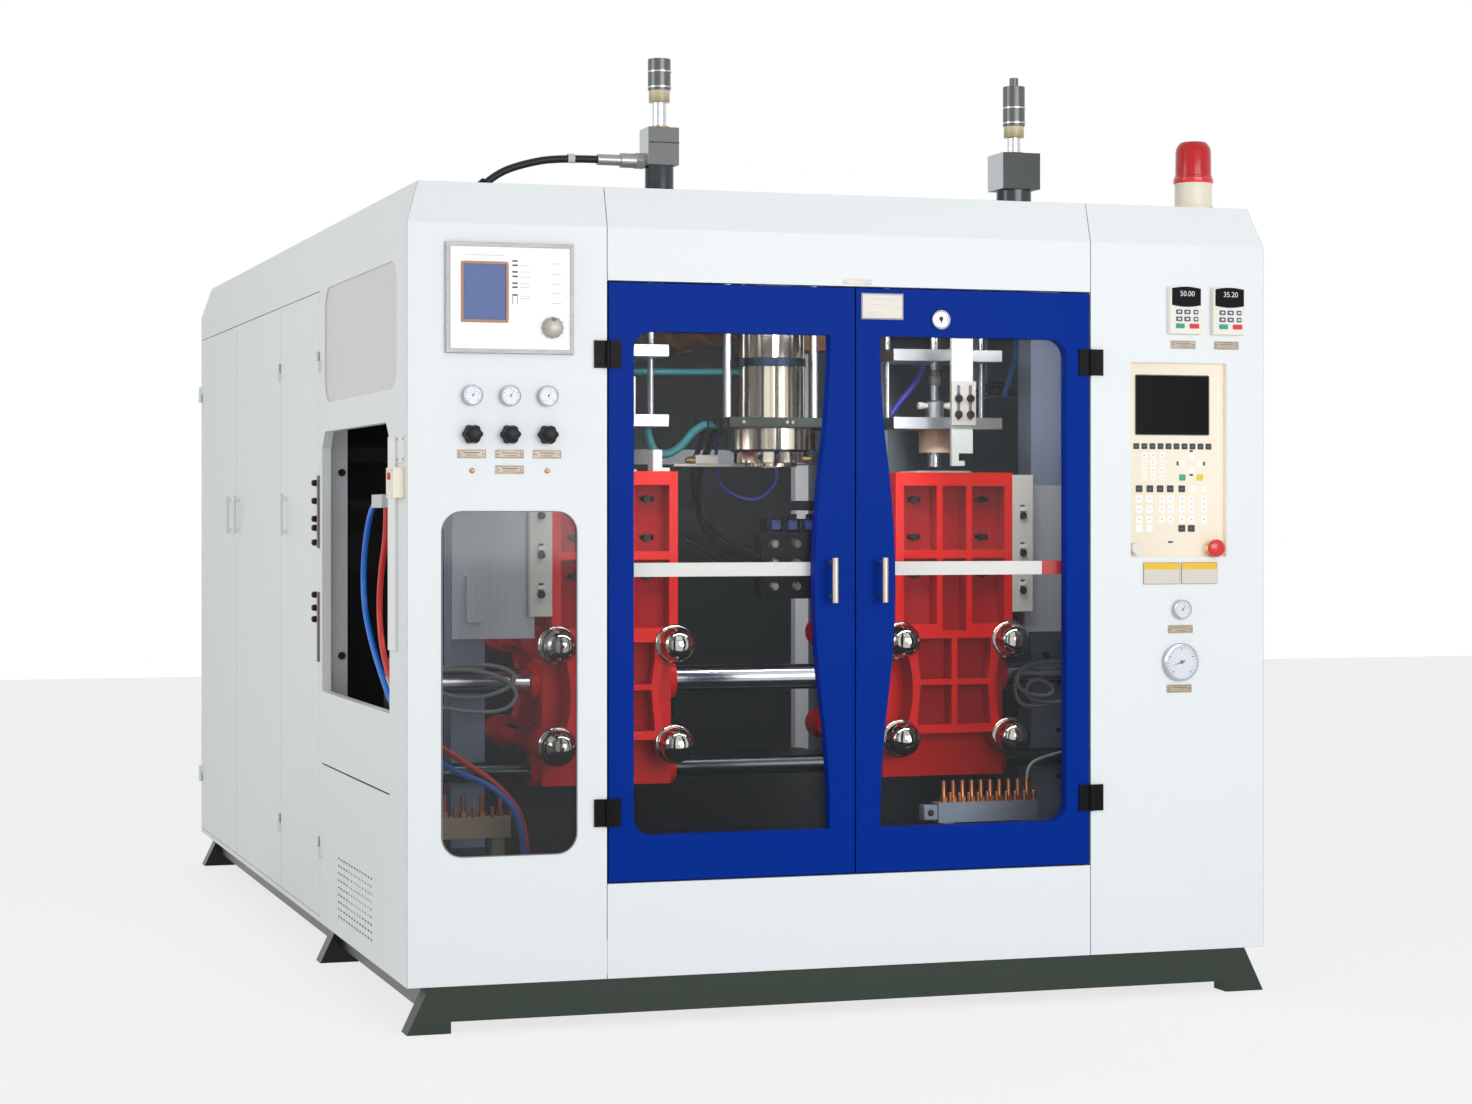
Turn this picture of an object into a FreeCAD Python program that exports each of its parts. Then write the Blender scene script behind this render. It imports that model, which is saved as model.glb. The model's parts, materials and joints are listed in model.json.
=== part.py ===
# A double station extrusion blow moulding machine in its panelled cabinet.
#
# The row frame is +Z up, +X to the right seen from the front and +Y from the front to the back.
# The origin lies on the floor, under the middle of the machine. All sizes are in millimetres.
# An extruder feeds a die head in the middle. To its left and right a clamp unit rides on two
# shafts. It fetches a length of soft tube from the die and carries it out to its own blow pin.
import FreeCAD, Part
import math
import os
import Sketcher

# ----------------------------------------------------------------------------------------------
# Driving dimensions: name, value, meaning
# ----------------------------------------------------------------------------------------------
SIZES = [
    ("cabinet_width", 2000, "outside width across the side panels"),
    ("cabinet_depth", 3240, "outside depth from the front panels to the rear panel"),
    ("roof_level", 1800, "height of the roof"),
    ("bend_level", 1710, "height where the panels fold inwards"),
    ("panel_level", 100, "height of the panels' lower edge"),
    ("chamfer_inset", 28, "how far the folded edge leans in"),
    ("sheet_thick", 3, "thickness of the panel sheet"),
    ("panel_gap", 1.5, "gap between two panels"),
    ("return_depth", 30, "depth of the folded edges round the doorway"),
    # base frame
    ("beam_thick", 60, "front to back thickness of a cross beam"),
    ("beam_splay", 48, "how far a beam's end leans out to its foot"),
    ("foot_length", 95, "length of a beam's foot on the floor"),
    ("foot_drop", 25, "height of the feet below the beam"),
    ("middle_beam_at", 1064, "front panels to the middle beam"),
    ("rail_width", 50, "width of the base rails"),
    ("rail_height", 60, "height of the base rails"),
    ("anchor_inset", 80, "side of the cabinet to an anchor hole"),
    ("anchor_hole", 9, "radius of an anchor hole"),
    # posts and rails
    ("post_width", 45, "side of a square post"),
    ("post_inset", 22, "panel face to a post"),
    ("middle_post_at", 1064, "front panels to the second row of posts"),
    ("third_post_at", 1645, "front panels to the third row of posts"),
    ("fourth_post_at", 2446, "front panels to the fourth row of posts"),
    ("rail_level", 1655, "underside of the top rails"),
    ("deck_level", 320, "top of the deck"),
    ("deck_thick", 20, "thickness of the deck"),
    ("deck_lap", 20, "overlap of the deck on its rails"),
    ("bridge_at", 1090, "front panels to the dark cross beams behind the clamps"),
    ("bridge_thick", 40, "thickness of those beams"),
    ("bridge_level", 960, "underside of the lower cross beam"),
    ("bridge_height", 90, "height of the lower cross beam"),
    ("slim_beam_level", 1105, "underside of the upper cross beam"),
    ("slim_beam_height", 25, "height of the upper cross beam"),
    # doorway and doors
    ("front_column", 435, "side of the cabinet to the doorway"),
    ("door_post_room", 10, "doorway to a door post"),
    ("sill_level", 303, "height of the sill"),
    ("header_level", 1597, "height of the header's lower edge"),
    ("door_gap", 3.5, "gap round a door"),
    ("door_depth", 30, "depth of a door's folded frame"),
    ("stile", 56, "width of a door's outer stile"),
    ("meeting_stile", 57, "width of a door's inner stile at its ends"),
    ("stile_bow", 36, "how far the inner stile bows into the window"),
    ("top_rail", 105, "width of a door's top rail"),
    ("bottom_rail", 98, "width of a door's bottom rail"),
    ("window_round", 40, "radius of a door window's outer corners"),
    ("pane_thick", 5, "thickness of the clear panes"),
    ("pane_lap", 10, "overlap of a pane behind its window"),
    ("guard_level", 975, "height of the guard bar's middle"),
    ("guard_height", 30, "height of the guard bar"),
    ("guard_thick", 16, "thickness of the guard bar"),
    ("handle_level", 951, "height of the door handles' middle"),
    ("handle_length", 98, "length of a door handle"),
    ("handle_radius", 7, "radius of a door handle's bar"),
    ("handle_reach", 40, "how far a door handle stands out"),
    ("handle_inset", 58, "middle of the doorway to a handle"),
    ("hinge_size", 59, "side of a square hinge"),
    ("hinge_thick", 5, "thickness of a hinge leaf"),
    ("hinge_knuckle", 6, "radius of a hinge knuckle"),
    ("hinge_pin", 3, "radius of a hinge pin"),
    ("upper_hinge_level", 1438, "height of the upper hinges"),
    ("lower_hinge_level", 456, "height of the lower hinges"),
    ("lock_across", 200, "middle of the doorway to the door lock"),
    ("lock_level", 1527, "height of the door lock"),
    ("lock_radius", 21, "radius of the lock's face"),
    # cabinet doors on the left
    ("leaf_depth", 18, "depth of a cabinet door's folded edge"),
    ("leaf_bottom", 115, "height of the cabinet doors' lower edge"),
    ("leaf_top", 1638, "height of the cabinet doors' upper edge"),
    ("first_seam", 1067, "front panels to the first cabinet door"),
    ("second_seam", 1667, "front panels to the second cabinet door"),
    ("third_seam", 2468, "front panels to the third cabinet door"),
    ("rear_margin", 16, "end of the cabinet doors to the rear panel's face"),
    ("pull_reach", 24, "how far a cabinet door's pull stands out"),
    ("pull_length", 110, "length of a cabinet door's pull"),
    ("pull_level", 1093, "height of the cabinet doors' pulls"),
    # openings of the panels
    ("column_window_left", 73, "left side to the column window"),
    ("column_window_width", 295, "width of the column window"),
    ("column_window_low", 371, "height of the column window's lower edge"),
    ("column_window_high", 1102, "height of the column window's upper edge"),
    ("column_window_round", 45, "corner radius of the column window"),
    ("side_window_front", 110, "front panels to the side window"),
    ("side_window_back", 1000, "front panels to the back of the side window"),
    ("side_window_low", 1365, "height of the side window's lower edge"),
    ("side_window_high", 1640, "height of the side window's upper edge"),
    ("side_window_round", 60, "corner radius of the side window"),
    ("hatch_front", 190, "front panels to the service hatch"),
    ("hatch_back", 1038, "front panels to the back of the service hatch"),
    ("hatch_low", 665, "height of the hatch's lower edge"),
    ("hatch_high", 1295, "height of the hatch's upper edge"),
    ("hatch_cut", 40, "cut of the hatch's upper corners"),
    ("seam_slot_level", 490, "height of the slot under the hatch"),
    ("seam_slot_height", 4, "height of that slot"),
    ("vent_front", 391, "front panels to the air slots"),
    ("vent_low", 145, "height of the lowest air slots"),
    ("vent_pitch_across", 34, "distance between air slots along a row"),
    ("vent_pitch_up", 17, "distance between rows of air slots"),
    ("vent_length", 22, "length of an air slot"),
    ("vent_height", 5, "height of an air slot"),
    ("strip_front", 100, "front panels to the guide strip beside the hatch"),
    ("strip_width", 80, "width of the guide strip"),
    ("strip_low", 803, "height of the guide strip's lower end"),
    ("strip_high", 1262, "height of the guide strip's upper end"),
    ("switch_front", 21, "front panels to the interlock switch"),
    ("switch_length", 75, "length of the interlock switch"),
    ("switch_low", 1130, "height of the interlock switch's underside"),
    ("switch_height", 64, "height of the interlock switch"),
    ("switch_proud", 26, "how far the interlock switch stands out"),
    # instruments on the left column
    ("controller_left", 81, "left side to the parison controller"),
    ("controller_width", 278, "width of the parison controller"),
    ("controller_low", 1436, "height of the controller's lower edge"),
    ("controller_high", 1670, "height of the controller's upper edge"),
    ("controller_proud", 9, "how far the controller's frame stands out"),
    ("controller_rim", 9, "width of the controller's frame"),
    ("display_left", 115, "left side to the controller's display"),
    ("display_width", 98, "width of the controller's display"),
    ("display_low", 1503, "height of the display's lower edge"),
    ("display_high", 1627, "height of the display's upper edge"),
    ("dial_across", 311, "left side to the controller's dial"),
    ("dial_level", 1492, "height of the controller's dial"),
    ("dial_radius", 23, "radius of the controller's dial"),
    ("dial_length", 18, "length of the controller's dial"),
    ("gauge_first", 138, "left side to the first gauge"),
    ("gauge_pitch", 82, "distance between the gauges"),
    ("gauge_level", 1347, "height of the small gauges"),
    ("gauge_radius", 22, "radius of a small gauge"),
    ("gauge_proud", 16, "how far a gauge stands out"),
    ("knob_level", 1264.5, "height of the pressure regulator knobs"),
    ("knob_radius", 21.5, "radius of a regulator knob"),
    ("knob_length", 30, "length of a regulator knob"),
    ("knob_stem", 8, "radius of a knob's stem"),
    ("tag_level", 1223, "height of the plates under the knobs"),
    ("tag_width", 62, "width of a small plate"),
    ("tag_height", 18, "height of a small plate"),
    ("tag_thick", 1.5, "thickness of a plate"),
    ("low_tag_level", 1190, "height of the lower plate"),
    # instruments on the right column
    ("keypad_first", 205, "right side to the first keypad's middle"),
    ("keypad_pitch", 109, "distance between the keypads"),
    ("keypad_width", 80, "width of a drive keypad"),
    ("keypad_low", 1506, "height of a keypad's lower edge"),
    ("keypad_high", 1614, "height of a keypad's upper edge"),
    ("keypad_proud", 16, "how far a keypad stands out"),
    ("keypad_tag_level", 1482, "height of the plates under the keypads"),
    ("panel_left", 335, "right side to the operator panel's left edge"),
    ("panel_width", 240, "width of the operator panel"),
    ("panel_low", 998, "height of the operator panel's lower edge"),
    ("panel_high", 1441, "height of the operator panel's upper edge"),
    ("panel_recess", 14, "depth of the operator panel behind its frame"),
    ("screen_left", 318, "right side to the screen's left edge"),
    ("screen_width", 184, "width of the screen"),
    ("screen_low", 1277, "height of the screen's lower edge"),
    ("screen_high", 1412, "height of the screen's upper edge"),
    ("stop_across", 127, "right side to the stop button"),
    ("stop_level", 1018, "height of the stop button"),
    ("stop_radius", 20, "radius of the stop button"),
    ("stop_collar", 15, "radius of the stop button's collar"),
    ("stop_stem", 9, "radius of the stop button's stem"),
    ("stop_travel", 5, "travel of the stop button"),
    ("plug_across", 320, "right side to the plug beside the stop button"),
    ("plug_radius", 13, "radius of that plug"),
    ("card_level", 961, "height of the two bare plates"),
    ("card_height", 50, "height of those plates"),
    ("card_width", 91, "width of those plates"),
    ("card_across", 260, "right side to the first of those plates"),
    ("card_pitch", 95, "distance between those plates"),
    ("small_gauge_across", 212, "right side to the small gauge"),
    ("small_gauge_level", 879, "height of the small gauge"),
    ("large_gauge_across", 215, "right side to the large gauge"),
    ("large_gauge_level", 759, "height of the large gauge"),
    ("large_gauge_radius", 43, "radius of the large gauge"),
    ("beacon_across", 130, "right side to the beacon"),
    ("beacon_back", 100, "front panels to the beacon"),
    ("beacon_radius", 46, "radius of the beacon"),
    ("beacon_base_height", 70, "height of the beacon's base"),
    ("beacon_dome_height", 88, "height of the beacon's lens"),
    # clamp units
    ("station_across", 420, "middle of the machine to a station"),
    ("parting_at", 590, "front panels to the plane where the moulds meet"),
    ("mould_thick", 65, "thickness of a mould half"),
    ("mould_half", 130, "half the width of a mould"),
    ("mould_low", 860, "height of the mould's lower edge"),
    ("mould_high", 1190, "height of the mould's upper edge"),
    ("striker_height", 10, "height of the neck plate on a mould"),
    ("striker_half", 70, "half the width of the neck plate"),
    ("bottle_radius", 48, "radius of the bottle's body"),
    ("bottle_low", 892, "height of the bottle's foot"),
    ("bottle_shoulder", 1075, "height of the bottle's shoulder"),
    ("bottle_neck_low", 1138, "height of the bottle's neck"),
    ("neck_room", 9, "room round a blow pin in the bottle's neck"),
    ("platen_thick", 65, "thickness of a platen"),
    ("platen_half", 150, "half the width of a platen"),
    ("platen_high", 1195, "height of a platen's upper edge"),
    ("platen_low", 573, "height of a platen's lower edge"),
    ("platen_waist", 107, "half the width of a platen's waist"),
    ("platen_foot", 120, "half the width of a platen beside its lugs"),
    ("waist_reach", 31, "a tie bar to the end of the platen's waist"),
    ("platen_top_flange", 32, "height of a platen's upper flange"),
    ("ledge_low", 990, "underside of the ledge between a platen's pockets"),
    ("ledge_high", 1010, "upper side of that ledge"),
    ("cross_rib_low", 799, "underside of a platen's cross rib"),
    ("cross_rib_high", 817, "upper side of a platen's cross rib"),
    ("low_rib_low", 688, "underside of a platen's lower cross rib"),
    ("low_rib_high", 702, "upper side of a platen's lower cross rib"),
    ("rib_across", 38, "middle of a platen to its upright ribs"),
    ("bolt_radius", 10, "radius of a mould bolt's head over its corners"),
    ("bolt_head", 8, "height of a mould bolt's head"),
    ("bolt_low", 951, "height of the lowest mould bolts"),
    ("bolt_pitch", 90, "distance between the mould bolts"),
    ("bolt_across", 87, "middle of a platen to its mould bolts"),
    ("platen_web", 20, "thickness of a platen behind its pockets"),
    ("rib", 15, "thickness of a platen's ribs"),
    ("flange", 21, "thickness of a platen's outer flange"),
    ("slot_length", 34, "length of a bolt slot in a platen"),
    ("slot_width", 11, "width of a bolt slot in a platen"),
    ("bar_across", 140, "middle of a station to a tie bar"),
    ("upper_bar_level", 795, "height of the upper tie bars"),
    ("lower_bar_level", 563, "height of the lower tie bars"),
    ("bar_radius", 26, "radius of a tie bar"),
    ("lug_radius", 38, "radius of a platen's lugs"),
    ("dome_radius", 40, "radius of a dome nut"),
    ("dome_seat", 28, "length of a dome nut's straight part"),
    ("clamp_stroke", 100, "how far each platen opens"),
    ("crosshead_thick", 60, "thickness of the crosshead"),
    ("crosshead_spare", 20, "room left between the open platen and the crosshead"),
    ("boss_length", 40, "length of the bosses behind the crosshead"),
    ("cylinder_radius", 75, "outside radius of the clamp cylinder"),
    ("cylinder_bore", 60, "bore radius of the clamp cylinder"),
    ("cylinder_cap", 25, "thickness of the clamp cylinder's end"),
    ("clamp_rod_radius", 35, "radius of the clamp rod"),
    ("clamp_axis_level", 679, "height of the clamp cylinder"),
    ("piston_length", 30, "length of the clamp piston"),
    ("piston_gap", 10, "room in front of the closed clamp's piston"),
    ("run_fit", 0.05, "clearance of a running fit, on the radius"),
    ("arm_strip_width", 53, "width of the slotted strip beside a platen"),
    ("arm_strip_low", 861, "height of the slotted strip's lower edge"),
    ("arm_plate_width", 190, "width of the plate beside a platen"),
    ("arm_plate_low", 811, "height of that plate's lower edge"),
    ("arm_plate_high", 1165, "height of that plate's upper edge"),
    ("arm_thick", 15, "thickness of the strip and of the plate"),
    ("arm_lap", 15, "overlap of the strip on the plate"),
    ("arm_switch_across", 331, "middle of the left station to the switch on its plate"),
    ("arm_switch_width", 37, "width of that switch"),
    ("arm_switch_low", 849, "height of that switch's lower edge"),
    ("arm_switch_high", 955, "height of that switch's upper edge"),
    # carriage
    ("saddle_half", 155, "half the width of a carriage"),
    ("saddle_thick", 110, "thickness of a carriage"),
    ("saddle_low", 465, "height of a carriage's lower edge"),
    ("saddle_high", 835, "height of a carriage's upper edge"),
    ("bearing_reach", 20, "how far the bearings stand out of a carriage"),
    ("bearing_wall", 14, "wall of a carriage bearing"),
    ("upper_shaft_level", 707, "height of the upper shaft"),
    ("upper_shaft_radius", 30, "radius of the upper shaft"),
    ("lower_shaft_level", 498, "height of the lower shaft"),
    ("lower_shaft_radius", 22.5, "radius of the lower shaft"),
    ("shaft_end_room", 75, "side of the cabinet to the end of a shaft"),
    ("bracket_thick", 40, "thickness of a shaft bracket"),
    ("bracket_width", 100, "width of a shaft bracket"),
    ("bracket_high", 765, "height of a shaft bracket"),
    # blow stations
    ("column_side", 80, "side of a station column"),
    ("column_room", 6, "room between the upper shaft and a station column"),
    ("column_across", 690, "middle of the machine to a station column"),
    ("station_front", 500, "front panels to the station plates"),
    ("station_half", 140, "half the width of a station plate"),
    ("station_depth", 180, "depth of a station plate"),
    ("lower_plate_level", 1300, "underside of the lower station plate"),
    ("upper_plate_level", 1463, "underside of the upper station plate"),
    ("station_plate_thick", 28, "thickness of a station plate"),
    ("guide_radius", 8, "radius of a station's guide rods"),
    ("guide_inset", 18, "edge of a station plate to a guide rod"),
    ("pin_radius", 13, "radius of a blow pin's shaft"),
    ("pin_tip_radius", 17, "radius of a blow pin's sizing sleeve"),
    ("pin_tip_length", 30, "length of that sleeve"),
    ("pin_tip_level", 1210, "height of a raised blow pin's tip"),
    ("bush_radius", 38, "radius of the guide bush under a station"),
    ("bush_length", 55, "length of that bush"),
    ("yoke_level", 1558, "underside of the yoke that drives a blow pin"),
    ("yoke_height", 34, "height of the yoke"),
    ("yoke_width", 60, "width of the yoke"),
    ("ram_back", 100, "front panels to the blow cylinders"),
    ("left_ram_radius", 31.5, "radius of the left blow cylinder"),
    ("right_ram_radius", 39.5, "radius of the right blow cylinder"),
    ("ram_low", 1610, "height of a blow cylinder's lower end"),
    ("ram_rod_radius", 15, "radius of a blow cylinder's rod"),
    ("left_head_level", 1857, "height of the left cylinder's square head"),
    ("right_head_level", 1831, "height of the right cylinder's square head"),
    ("left_head_side", 70, "side of the left cylinder's square head"),
    ("right_head_side", 91, "side of the right cylinder's square head"),
    ("head_height", 82, "height of a cylinder's square head"),
    ("left_rod_show", 57, "bare rod above the left cylinder's head"),
    ("right_rod_show", 38, "bare rod above the right cylinder's head"),
    ("sleeve_radius", 25, "radius of the stroke sleeve"),
    ("band_height", 26, "height of the band under the stroke sleeve"),
    ("left_sleeve_height", 69, "height of the left stroke sleeve"),
    ("right_sleeve_height", 90, "height of the right stroke sleeve"),
    ("stud_radius", 10, "radius of the stud on the right sleeve"),
    ("stud_height", 20, "height of the stud on the sleeve"),
    ("nut_length", 54, "length of the roof hose's nut"),
    ("nut_radius", 16, "radius of the roof hose's nut"),
    ("ferrule_length", 52, "length of the roof hose's ferrule"),
    ("ferrule_radius", 12, "radius of the roof hose's ferrule"),
    ("gland_across", 193, "left side to the roof hose's gland"),
    ("gland_rise", 8, "height of the hose's end over the roof"),
    ("gland_slope", 0.87, "fall of the hose's end for each unit across"),
    ("roof_beam_height", 40, "height of the beam under the roof that holds the cylinders"),
    ("hook_front", 410, "front panels to the hook plates"),
    ("hook_half", 27, "half the width of a hook plate"),
    ("hook_thick", 12, "thickness of a hook plate"),
    ("hook_low", 1210, "height of a hook's lower end"),
    ("hook_high", 1514, "height of a hook plate's upper end"),
    # die head and extruder
    ("die_lip_level", 1208, "height of the die's lip"),
    ("die_lip_height", 9, "height of the die's lip ring"),
    ("die_lip_radius", 62, "radius of the die's lip ring"),
    ("die_ring_radius", 88, "radius of the die's ring"),
    ("die_ring_high", 1243, "upper side of the die's ring"),
    ("die_neck_radius", 95, "radius of the neck over the ring"),
    ("die_collar_level", 1248, "underside of the collar"),
    ("die_bore", 30, "radius of the die's opening"),
    ("mandrel_radius", 26, "radius of the mandrel in the die's opening"),
    ("die_gap_depth", 12, "depth of the die's opening"),
    ("die_collar_radius", 107, "radius of the collar under the head plate"),
    ("head_plate_level", 1299, "underside of the head plate"),
    ("head_plate_thick", 23, "thickness of the head plate"),
    ("head_plate_half", 151, "half the width of the head plate"),
    ("head_radius", 81, "radius of the die head"),
    ("head_top", 1655, "height of the die head's upper end"),
    ("head_band_level", 1446, "underside of the band round the die head"),
    ("head_band_height", 20, "height of that band"),
    ("hanger_across", 109, "middle of the die head to a hanger rod"),
    ("hanger_radius", 10, "radius of a hanger rod"),
    ("barrel_level", 1585, "height of the extruder barrel"),
    ("barrel_radius", 45, "radius of the extruder barrel"),
    ("heater_radius", 65, "radius of the heater bands"),
    ("heater_length", 190, "length of a heater band"),
    ("heater_pitch", 250, "distance between the heater bands"),
    ("gearbox_at", 2240, "front panels to the gearbox"),
    ("gearbox_length", 330, "length of the gearbox"),
    ("gearbox_half", 170, "half the width of the gearbox"),
    ("gearbox_low", 1290, "height of the gearbox's underside"),
    ("gearbox_high", 1645, "height of the gearbox's upper side"),
    ("motor_length", 420, "length of the motor"),
    ("motor_radius", 135, "radius of the motor"),
    ("motor_level", 1440, "height of the motor"),
    ("hopper_at", 2075, "front panels to the hopper"),
    ("hopper_radius", 150, "radius of the hopper's rim"),
    ("hopper_wall", 4, "wall of the hopper"),
    ("hopper_throat", 32, "radius of the hopper's throat"),
    ("hopper_rim_level", 1830, "height of the hopper's rim"),
    # services
    ("tank_side_room", 70, "side of the cabinet to the oil tank"),
    ("tank_width", 180, "width of the oil tank"),
    ("tank_room", 4, "room between the dark cross beams and the oil tank"),
    ("tank_length", 400, "length of the oil tank"),
    ("tank_high", 1408, "height of the oil tank"),
    ("tank_round", 60, "radius of the oil tank's upper edges"),
    ("valve_block_left", 120, "middle of the machine to the valve block"),
    ("valve_block_width", 200, "width of the valve block"),
    ("valve_block_low", 880, "height of the valve block's underside"),
    ("valve_block_high", 1050, "height of the valve block's upper side"),
    ("valve_block_thick", 60, "thickness of the valve block"),
    ("manifold_length", 250, "length of a water manifold"),
    ("manifold_height", 46, "height of a water manifold"),
    ("manifold_thick", 40, "thickness of a water manifold"),
    ("manifold_back", 300, "front panels to the middle of the water manifolds"),
    ("right_manifold_at", 308, "middle of the machine to the right water manifold"),
    ("left_manifold_room", 40, "side of the cabinet to the left water manifold"),
    ("manifold_leg", 59, "height of a water manifold's legs"),
    ("nozzle_radius", 6, "radius of a water nozzle"),
    ("nozzle_length", 50, "length of a water nozzle"),
    ("air_plate_back", 300, "front panels to the back of the air valves' plate"),
    ("air_plate_thick", 14, "thickness of the air valves' plate"),
    ("air_plate_low", 700, "height of the air valves' plate's lower edge"),
    ("air_plate_high", 1190, "height of the air valves' plate's upper edge"),
    ("air_arm_back", 560, "front panels to the end of the hose's arm"),
    ("air_arm_level", 1110, "underside of the hose's arm"),
    ("air_valve_height", 52, "height of an air valve"),
    ("air_valve_pitch", 66, "distance between the air valves"),
    ("hose_radius", 7, "radius of the coloured air hoses"),
    ("roof_hose_radius", 8.5, "radius of the hose on the roof"),
]

doc = FreeCAD.newDocument("blow_moulding_machine")
sheet = doc.addObject("Spreadsheet::Sheet", "sizes")


# ----------------------------------------------------------------------------------------------
# Sizes that keep their formula
# ----------------------------------------------------------------------------------------------
class Size:
    """A length with its number and the formula that gives it from the sheet."""

    def __init__(self, text, number):
        self.text = text
        self.number = number

    def __add__(self, other):
        return Size(f"({self.text} + {formula(other)})", self.number + number(other))

    def __radd__(self, other):
        return Size(f"({formula(other)} + {self.text})", number(other) + self.number)

    def __sub__(self, other):
        return Size(f"({self.text} - {formula(other)})", self.number - number(other))

    def __rsub__(self, other):
        return Size(f"({formula(other)} - {self.text})", number(other) - self.number)

    def __mul__(self, other):
        return Size(f"({self.text} * {formula(other)})", self.number * number(other))

    __rmul__ = __mul__

    def __truediv__(self, other):
        return Size(f"({self.text} / {formula(other)})", self.number / number(other))

    def __neg__(self):
        return Size(f"(0 - {self.text})", -self.number)


def number(amount):
    """The plain number of a size or of a number."""
    return amount.number if isinstance(amount, Size) else amount


def formula(amount):
    """The formula of a size or of a number."""
    return amount.text if isinstance(amount, Size) else f"({amount})"


def root(amount):
    """The square root of a size."""
    return Size(f"sqrt({amount.text})", math.sqrt(amount.number))


class Sheet:
    """The driving dimensions by name."""


s = Sheet()
for line, (alias, amount, meaning) in enumerate(SIZES, start=1):
    sheet.set(f"A{line}", meaning)
    sheet.set(f"B{line}", str(amount))
    sheet.setAlias(f"B{line}", alias)
    setattr(s, alias, Size(f"sizes.{alias}", amount))
doc.recompute()

# ----------------------------------------------------------------------------------------------
# Modelling steps
# ----------------------------------------------------------------------------------------------
V = FreeCAD.Vector
TURNS = {
    "z": FreeCAD.Rotation(),
    "x": FreeCAD.Rotation(V(0, 1, 0), 90),
    "y": FreeCAD.Rotation(V(1, 0, 0), -90),
    "-y": FreeCAD.Rotation(V(1, 0, 0), 90),
}
NODES = []


def bind(thing, prop, amount):
    """Sets a property to a size's formula."""
    thing.setExpression(prop, formula(amount))


def place(thing, x, y, z, turn="z"):
    """Puts a thing at a point, turned so that its own Z lies along the named axis."""
    thing.Placement = FreeCAD.Placement(V(), TURNS[turn])
    for letter, amount in zip("xyz", (x, y, z)):
        bind(thing, ".Placement.Base." + letter, amount)
    return thing


def box(x, y, z):
    """A block between a low and a high value on each axis."""
    block = doc.addObject("Part::Box", "Block")
    for prop, (low, high) in zip(("Length", "Width", "Height"), (x, y, z)):
        bind(block, prop, high - low)
    return place(block, x[0], y[0], z[0])


def axis_of(spans):
    """The axis along which a low and a high value are given, with the point it starts from."""
    index = [isinstance(span, tuple) for span in spans].index(True)
    low, high = spans[index]
    start = [low if here == index else span for here, span in enumerate(spans)]
    return "xyz"[index], start, high - low


def rod(x, y, z, radius):
    """A cylinder along the axis for which a low and a high value are given."""
    axis, start, length = axis_of((x, y, z))
    solid = doc.addObject("Part::Cylinder", "Rod")
    bind(solid, "Radius", radius)
    bind(solid, "Height", length)
    return place(solid, *start, axis)


def cone(x, y, z, low_radius, high_radius):
    """A cone along the axis for which a low and a high value are given."""
    axis, start, length = axis_of((x, y, z))
    solid = doc.addObject("Part::Cone", "Taper")
    bind(solid, "Radius1", low_radius)
    bind(solid, "Radius2", high_radius)
    bind(solid, "Height", length)
    return place(solid, *start, axis)


def joined(*solids, smooth=True):
    """Solids made one, with faces that lie flush made one as well."""
    fuse = doc.addObject("Part::MultiFuse", "Joined")
    fuse.Shapes = list(solids)
    fuse.Refine = smooth
    return fuse


def together(*solids):
    """Separate solids in one object."""
    group = doc.addObject("Part::Compound", "Group")
    group.Links = list(solids)
    return group


def carved(base, *tools, smooth=True):
    """A solid less its tools, which don't overlap each other."""
    cut = doc.addObject("Part::Cut", "Carved")
    cut.Base = base
    cut.Tool = tools[0] if len(tools) == 1 else together(*tools)
    cut.Refine = smooth
    return cut


def shared(first, second):
    """What two solids have in common."""
    both = doc.addObject("Part::Common", "Shared")
    both.Base = first
    both.Tool = second
    return both


def node(label, thing):
    """Names a finished sub-part."""
    thing.Label = label
    NODES.append(thing)
    return thing


def pinned(sketch, place_of, point):
    """Holds a point of a sketch at its two distances from the origin."""
    for kind, amount in zip(("DistanceX", "DistanceY"), point):
        index = sketch.addConstraint(Sketcher.Constraint(kind, -1, 1, *place_of, number(amount)))
        bind(sketch, f"Constraints[{index}]", amount)


def sized(sketch, edge, radius):
    """Holds the radius of a round edge of a sketch."""
    index = sketch.addConstraint(Sketcher.Constraint("Radius", edge, number(radius)))
    bind(sketch, f"Constraints[{index}]", radius)


def arc_between(start, end, radius, side):
    """The shorter arc from one point to another. side is 1 where its centre lies to the left."""
    middle = (start + end) * 0.5
    half = (end - start) * 0.5
    rise = math.sqrt(max(radius * radius - half.Length * half.Length, 0))
    left = V(-half.y, half.x, 0).normalize()
    centre = middle + left * rise * side
    bulge = centre - left * radius * side
    if rise > 1e-6:
        bulge = centre + (middle - centre).normalize() * radius
    return Part.Arc(start, bulge, end)


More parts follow.
